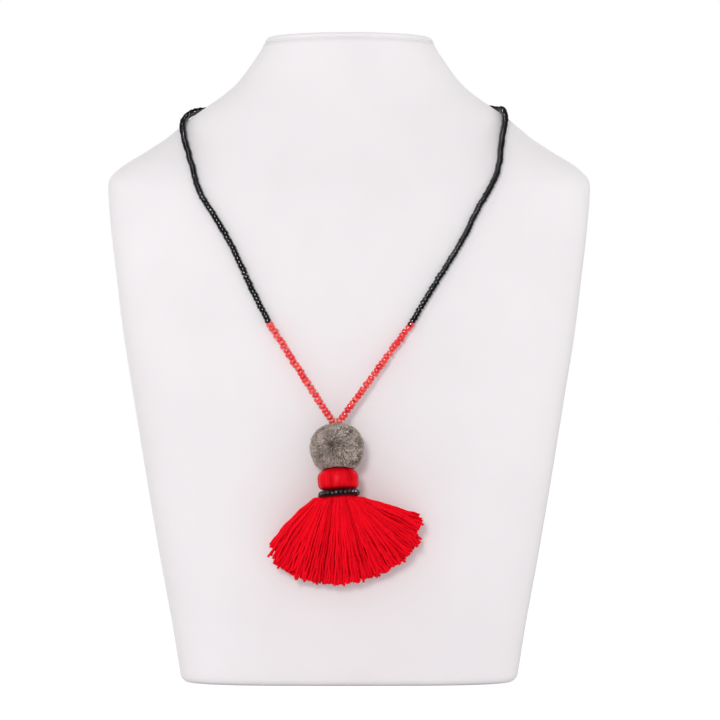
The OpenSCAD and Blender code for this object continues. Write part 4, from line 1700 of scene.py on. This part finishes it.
@dataclass(frozen=True)
class TasselHead:
    """The head: floss laid side by side from the pompom down to the ring, over a round core.

    Cells: how many cells of noise the head's radius spans, for its bands and for the threads' wander.
    Drifts: how many it spans from the head's middle to its top. Wander: in threads.
    """

    layout: Layout
    threads: int = 104
    columns_a_thread: int = 4
    rings: int = 56
    thread_relief: float = 0.05 * MM
    band_relief: float = 0.3 * MM
    wander: float = 0.5
    pole: float = 0.012
    band_cells: float = 2.6
    band_drift: float = 0.7
    wander_cells: float = 3.0
    wander_drift: float = 1.6

    def build(self) -> bpy.types.Object:
        """Builds the head.

        Returns:
            The piece that stands for the plain head.
        """
        layout = self.layout
        columns = self.threads * self.columns_a_thread
        # The first column, where the chart's seam runs, is at the back
        turns = turns_round(columns) + math.pi / 2
        top = math.pi / 2 - self.pole
        rings = []
        for lift in np.linspace(-top, top, self.rings):
            level = math.cos(lift)
            wide, high = layout.head_outline(lift)
            ring = []
            for i, turn in enumerate(turns):
                place = np.array([wide * math.cos(turn), wide * math.sin(turn), high])
                out = unit(place)
                side = Vector((math.cos(turn), math.sin(turn), 0.0))
                at = Vector((0.0, 0.0, math.sin(lift) * self.band_drift + 5.0))
                band = noise.noise(side * self.band_cells + at)
                at = Vector((9.0, 0.0, math.sin(lift) * self.wander_drift))
                drift = self.wander * noise.noise(side * self.wander_cells + at)
                thread = abs(math.sin(math.pi * (i / self.columns_a_thread + drift)))
                dent = self.thread_relief * (1 - thread) * level
                dent += self.band_relief * (0.5 - band) * level ** 2
                ring.append(place - out * dent + np.array([0, 0, layout.head_z]))
            rings.append(layout.hung(np.array(ring)))
        return dressed(lathed("floss_head", np.array(rings), RED_FLOSS), "head_yarn", "tassel_head")


@dataclass(frozen=True)
class TasselSkirt:
    """The skirt: red yarns in locks, from the neck under the ring out to a cut hem on the chest.

    Layers: locks, share of the fan, how far ahead of the neck's middle they start as a share of its
    radius, layers behind, bulge. Hem: place in the fan, length as a share of the skirt's. Lock rows:
    place along a lock, width and thickness as shares of its hem's.
    """

    layout: Layout
    sweep: StrandSweep
    length: float = 38 * MM
    fan_left: float = math.radians(51)
    fan_right: float = math.radians(73)
    lock: float = 3 * MM
    layers: tuple[tuple[float, ...], ...] = (
        (12, 1.00, -0.50, 0, 0.00),
        (13, 0.98, 0.10, 1, 0.35),
        (12, 0.92, 0.65, 2, 0.85),
    )
    hem: tuple[tuple[float, float], ...] = (
        (0.00, 0.94), (0.04, 1.03), (0.09, 1.05), (0.14, 1.00), (0.22, 1.00), (0.34, 0.985), (0.45, 0.97),
        (0.54, 0.945), (0.65, 0.985), (0.79, 1.00), (0.91, 1.04), (1.00, 0.97),
    )
    lengths: tuple[float, ...] = (1.00, 0.97, 0.99, 0.95, 1.00, 0.96, 0.98)
    lock_step: int = 3
    layer_step: int = 5
    lock_rows: tuple[tuple[float, float, float], ...] = (
        (0.00, 0.30, 0.80), (0.22, 0.55, 0.90), (0.60, 0.85, 1.00), (0.95, 1.00, 1.00), (1.00, 0.98, 0.95),
    )
    overlap: float = 1.5
    pack: float = 0.85
    seat: float = 0.95
    edge_rise: float = 1.2 * MM
    hem_lift: float = 3.5 * MM
    tip_lift: float = 3.0 * MM
    bulge_left: float = 0.055
    bulge_right: float = 0.015
    bulge_ease: float = 0.6
    puff: float = 1.25
    puff_reach: float = 0.25
    parting: float = math.radians(1.3)
    stand: float = 0.45 * MM
    length_spread: float = 0.6
    # How much lighter the yarns are towards the fan's edges: painted light
    edge_painted_light: float = 0.3
    yarns_a_lock: int = 18
    yarn: float = 0.98 * MM
    yarn_points: int = 15
    crimp: float = 0.42 * MM
    crimps: float = 3.2
    fibres: int = 3
    fibre: float = 0.13 * MM
    fray: float = 0.9 * MM
    split: float = 0.8 * MM
    splay: float = 0.5
    fray_run: float = 0.45
    # How much lighter the frayed fibres are than their yarn: a painted highlight
    fray_highlight: float = 0.15
    lock_tones: float = 0.2
    tone: float = 0.55
    tones: float = 0.25
    seed: int = 11
    yarn_bow: float = 0.4 * MM
    yarn_length_spread: float = 0.016
    way_step: float = 0.01
    # Points above a yarn's root: how far out as a share of the root's, how far up
    tucked: tuple[tuple[float, float], ...] = ((0.85, 6.0 * MM), (0.97, 3.2 * MM), (1.06, 1.6 * MM))
    # Girth along a yarn: the ring squeezes it thin, and it fills out on the way to the hem
    girth_rows: tuple[tuple[float, float], ...] = (
        (0.0, 0.6), (0.2, 0.62), (0.55, 0.95), (0.93, 1.0), (1.0, 1.2),
    )
    fray_taper: tuple[float, ...] = (1.0, 1.0, 0.9, 0.6)

    @cached_property
    def neck_radius(self) -> float:
        """The radius of the neck that the ring of beads clasps."""
        return self.layout.ring_radius - self.layout.bead / 2 - self.layout.fit_gap

    @cached_property
    def root(self) -> np.ndarray:
        """The middle of the yarns' roots, under the ring."""
        return self.layout.hung(np.array([0, 0, self.layout.root_z - self.lock / 2]))

    def side_share(self, angle: float) -> float:
        """How far out in its side of the fan an angle is, from -1 at the left to 1 at the right."""
        return angle / (self.fan_left if angle < 0 else self.fan_right)

    def start(self, layer: tuple[float, ...], angle: float) -> np.ndarray:
        """Finds where a lock starts, on the neck: at the fan's edges a little higher, behind the ring.

        Args:
            layer: the lock's layer.
            angle: its angle in the fan.

        Returns:
            The point.
        """
        share = self.side_share(angle)
        turn = math.pi / 2 * share
        across = np.array([math.sin(turn), -layer[2] * math.cos(turn), 0])
        rise = np.array([0, 0, self.edge_rise * share ** 2])
        return self.root + self.neck_radius * self.seat * across + rise

    def end(self, layer: tuple[float, ...], angle: float, long: float) -> np.ndarray:
        """Finds where a lock ends, on the chest or on the layer below.

        Args:
            layer: the lock's layer.
            angle: its angle in the fan.
            long: its length.

        Returns:
            The point.
        """
        x, z = self.root[0] + long * math.sin(angle), self.root[2] - long * math.cos(angle)
        lift = self.hem_lift + self.tip_lift * self.side_share(angle) ** 2
        deep = self.layout.lie_gap + lift + self.lock * (0.5 + self.pack * layer[3])
        return np.array([x, self.layout.bust.chest_y(x, z) - deep, z])

    def lock_point(self, layer: tuple[float, ...], angle: float, long: float, u: float) -> np.ndarray:
        """Finds a point of a lock's centre line.

        Args:
            layer: the lock's layer.
            angle: its angle in the fan.
            long: its length.
            u: how far along it, as a share of the way from its root to the hem.

        Returns:
            The point.
        """
        start, end = self.start(layer, angle), self.end(layer, angle, long)
        at, way = start + (end - start) * u, unit(end - start)
        bulge = self.length * (self.bulge_left if angle < 0 else self.bulge_right)
        out = bulge * self.side_share(angle) * math.sin(math.pi * max(u, 0.0) ** self.bulge_ease)
        return np.array([at[0] - way[2] * out,
                         mix(start[1], end[1], smooth(u)) - layer[4] * self.lock * math.sin(math.pi * u),
                         at[2] + way[0] * out])

    def yarn_line(self, layer: tuple[float, ...], angle: float, long: float, spot: tuple[float, float],
                  chance: random.Random) -> np.ndarray:
        """Works out one yarn of a lock.

        Args:
            layer: the lock's layer.
            angle: the lock's angle in the fan.
            long: the lock's length.
            spot: the yarn's place in the lock's section, each way from -1 to 1.
            chance: what sets how it differs.

        Returns:
            The yarn's points, from inside the ring to the hem.
        """
        lock_angle = (self.fan_left + self.fan_right) / layer[0]
        hem_width = 2 * self.length * math.sin(lock_angle / 2) * self.overlap
        rows = np.array(self.lock_rows)
        bow = chance.gauss(0, self.yarn_bow)
        own = long * (1 + chance.gauss(0, self.yarn_length_spread))
        crimp, phase = self.crimp * chance.uniform(0.4, 1.2), chance.uniform(0, 2 * math.pi)
        up = self.layout.hung(np.array([0, 0, 1.0])) - self.layout.hung(np.zeros(3))
        points = []
        for u in np.linspace(0, 1, self.yarn_points - len(self.tucked)):
            ahead = self.lock_point(layer, angle, own, u + self.way_step)
            way = unit(ahead - self.lock_point(layer, angle, own, u - self.way_step))
            across = unit(np.cross(way, [0, 1, 0]))
            through = np.cross(way, across)
            wide = (hem_width * np.interp(u, rows[:, 0], rows[:, 1]) - self.yarn) / 2
            deep = (self.lock * np.interp(u, rows[:, 0], rows[:, 2]) - self.yarn) / 2
            sway = crimp * u * math.sin(2 * math.pi * self.crimps * u + phase)
            side = spot[0] * wide + bow * math.sin(math.pi * u) + sway
            at = self.lock_point(layer, angle, own, u) + across * side + through * spot[1] * deep
            # Just under the ring the yarns swell out to its own width
            fade = max(0.0, 1 - u / self.puff_reach)
            flat = at - self.root - up * float((at - self.root) @ up)
            points.append(at + flat * (self.puff - 1) * smooth(fade))
        # Above its root the yarn goes straight up inside the ring of beads
        foot, axis = points[0], self.root
        flat = foot - axis - up * float((foot - axis) @ up)
        reach = np.linalg.norm(flat)
        limit = self.neck_radius - self.yarn / 4
        flat = flat * min(1.0, limit / reach) if reach > 0 else flat
        inside = [axis + flat * share + up * (float((foot - axis) @ up) + rise)
                  for share, rise in self.tucked]
        return np.array(inside + points)

    def build(self) -> bpy.types.Object:
        """Builds the yarns and the frayed fibres at their cut ends.

        Returns:
            The piece that stands for the plain skirt.
        """
        chance, guides = random.Random(self.seed), StrandGuides()
        hem, rows = np.array(self.hem), np.array(self.girth_rows)
        along = np.linspace(0, 1, self.yarn_points)
        girths = self.yarn / 2 * np.interp(along, rows[:, 0], rows[:, 1])
        for layer in self.layers:
            locks = int(layer[0])
            edge = (1 - layer[1]) / 2
            for i in range(locks):
                place = mix(edge, 1 - edge, i / (locks - 1))
                angle = mix(-self.fan_left, self.fan_right, place)
                if 0 < i < locks - 1:
                    angle += chance.gauss(0, self.parting)
                pick = (self.lock_step * i + self.layer_step * int(layer[3])) % len(self.lengths)
                uneven = mix(1.0, self.lengths[pick], self.length_spread)
                long = self.length * float(np.interp(place, hem[:, 0], hem[:, 1])) * uneven
                lock_tone_and_edge_light = chance.uniform(-self.lock_tones, self.lock_tones)
                # Painted light: yarns towards both edges of the fan are lighter, where the light falls more
                # brightly on them
                lock_tone_and_edge_light += self.edge_painted_light * abs(self.side_share(angle))
                first = chance.uniform(0, 2 * math.pi)
                stand = chance.gauss(0, self.stand) / self.lock
                for k in range(self.yarns_a_lock):
                    # Even over the lock's width, and scattered over what depth it has there
                    across = 2 * (k + chance.uniform(0.2, 0.8)) / self.yarns_a_lock - 1
                    deep = math.sin(first + k * TURN_OF_GOLD) * math.sqrt(1 - across ** 4)
                    line = self.yarn_line(layer, angle, long, (across, deep + stand), chance)
                    tone = min(1.0, max(0.0, chance.gauss(self.tone, self.tones) + lock_tone_and_edge_light))
                    guides.add(line, girths, tone)
                    self.fray_end(line, tone, chance, guides)
        made = self.sweep.run(guides.object("tassel_yarns"), Sides=5, Wander=1.8 * MM, Wander_Size=7 * MM,
                              Material=RED_YARN.material())
        return dressed(made, "tassel_yarn", "tassel_skirt")

    def fray_end(self, line: np.ndarray, tone: float, chance: random.Random, guides: StrandGuides) -> None:
        """Splays a few fibres out of a yarn's cut end.

        Args:
            line: the yarn's points.
            tone: the yarn's tone.
            chance: what sets how they differ.
            guides: what gets the fibres' lines.
        """
        way = unit(line[-1] - line[-2])
        for _ in range(self.fibres):
            spread = np.array([chance.gauss(0, 1) for _ in range(3)])
            aside = unit(spread - way * float(spread @ way))
            long = self.fray * chance.uniform(0.5, 1.0)
            share = np.linspace(0, 1, len(self.fray_taper))[:, None]
            start = line[-1] - way * self.split + aside * self.yarn * 0.3
            along, out = way * (self.split + long * self.fray_run), aside * long * self.splay
            points = start + along * share + out * share ** 2
            # Painted highlight: the splayed fibres are lighter than the yarn they come from
            guides.add(points, self.fibre * np.array(self.fray_taper), min(1.0, tone + self.fray_highlight))


# Studio


@dataclass(frozen=True)
class Studio:
    """The pale floor, the soft light from the upper left, and the camera at the photograph's angle."""

    floor_radius: float = 8.0
    floor_sides: int = 128
    camera_at: tuple[float, float, float] = (5.06 * MM, -2065 * MM, 146.8 * MM)
    view_width: float = 331.2 * MM
    sensor: float = 36.0
    ambient: float = 0.70
    mirrored: float = 0.06
    aim: tuple[float, float, float] = (0.0, 0.0, 0.1)
    # Lamps: name, place, size, watts
    lamps: tuple[tuple[str, tuple[float, float, float], float, float], ...] = (
        ("key_light", (-0.36, -2.20, 0.66), 0.45, 15.4),
        ("left_side_light", (-1.6, 0.15, 0.38), 0.7, 4.2),
        ("right_side_light", (1.6, 0.15, 0.38), 0.7, 6.2),
    )
    # The light for the glass alone: place, size, watts
    glint_lamp: tuple[tuple[float, float, float], float, float] = ((-0.45, -2.10, 0.85), 0.45, 34.0)

    def floor(self) -> None:
        """Lays the paper that the bust stands on."""
        turns = turns_round(self.floor_sides)
        x, y = self.floor_radius * np.cos(turns), self.floor_radius * np.sin(turns)
        rings = np.array([np.stack([x, y, np.full(self.floor_sides, z)], axis=1) for z in (-0.02, -0.0002)])
        paper = lathed("studio_floor", rings, PAPER)
        # The glass would mirror it from below, where the photograph's is dark
        paper.visible_glossy = False

    def light(self) -> None:
        """Sets the white surround, the key light and the lights at the sides."""
        world = bpy.data.worlds.new("white_surround")
        bpy.context.scene.world = world
        world.use_nodes = True
        tree = world.node_tree
        tree.nodes.clear()
        seen = add_node(tree, "ShaderNodeBackground", {"Color": linear("#ffffff"), "Strength": 1.0})
        path = add_node(tree, "ShaderNodeLightPath")
        # Shiny things mirror a dimmer room than the one that lights them, as with a dark camera side
        strength = add_node(tree, "ShaderNodeMapRange",
                            {"Value": path.outputs["Is Glossy Ray"], "To Min": self.ambient,
                             "To Max": self.mirrored})
        cast = add_node(tree, "ShaderNodeBackground", {"Color": linear("#fffeff"), "Strength": strength})
        mixed = add_node(tree, "ShaderNodeMixShader",
                         {0: path.outputs["Is Camera Ray"], 1: cast, 2: seen})
        add_node(tree, "ShaderNodeOutputWorld", {"Surface": mixed})
        for row in self.lamps:
            self.lamp(*row).visible_glossy = row[0] == "key_light"

    def lamp(self, name: str, place: tuple[float, float, float], size: float,
             watts: float) -> bpy.types.Object:
        """Hangs one round soft light, turned to the pendant and out of the camera's sight.

        Args:
            name: the light's name.
            place: where it hangs.
            size: its diameter.
            watts: its power.

        Returns:
            The light.
        """
        lamp = bpy.data.lights.new(name, "AREA")
        lamp.shape, lamp.size, lamp.energy = "DISK", size, watts
        made = bpy.data.objects.new(name, lamp)
        bpy.context.scene.collection.objects.link(made)
        made.visible_camera = False
        made.location = place
        way = Vector(self.aim) - made.location
        made.rotation_euler = way.to_track_quat("-Z", "Y").to_euler()
        return made

    def glint(self, beads: list[bpy.types.Object]) -> None:
        """Adds a light that only the glass mirrors, for the white specks on it.

        Args:
            beads: the pieces of glass.
        """
        glass = bpy.data.collections.new("glass_beads")
        for bead in beads:
            glass.objects.link(bead)
        made = self.lamp("glint_light", *self.glint_lamp)
        made.visible_diffuse = False
        made.light_linking.receiver_collection = glass

    def camera(self) -> None:
        """Sets the camera level with the pendant, straight on to the chest."""
        lens = bpy.data.cameras.new("photo_camera")
        lens.sensor_width = self.sensor
        lens.lens = self.sensor * abs(self.camera_at[1]) / self.view_width
        lens.clip_end = 50.0
        camera = bpy.data.objects.new("photo_camera", lens)
        bpy.context.scene.collection.objects.link(camera)
        camera.location = self.camera_at
        camera.rotation_euler = (math.pi / 2, 0.0, 0.0)
        bpy.context.scene.camera = camera

    def build(self) -> None:
        """Sets up the whole studio and the way that its colours are shown."""
        bpy.context.scene.view_settings.view_transform = "Standard"
        self.camera()
        self.light()
        self.floor()


def main() -> None:
    """Builds the studio, then every piece in order."""
    logging.basicConfig(level=logging.INFO, format="%(name)s: %(message)s")
    studio = Studio()
    studio.build()
    bust = DisplayBust()
    layout = Layout(bust)
    sweep = StrandSweep("strand_sweep")
    bust.build()
    studio.glint(BeadStrings(layout, BeadStringing("bead_stringing")).build())
    BarrelClasp(layout).build()
    HangingThread(layout, sweep).build()
    Pompom(layout, sweep).build()
    TasselHead(layout).build()
    TasselSkirt(layout, sweep).build()


if __name__ == "__main__":
    main()
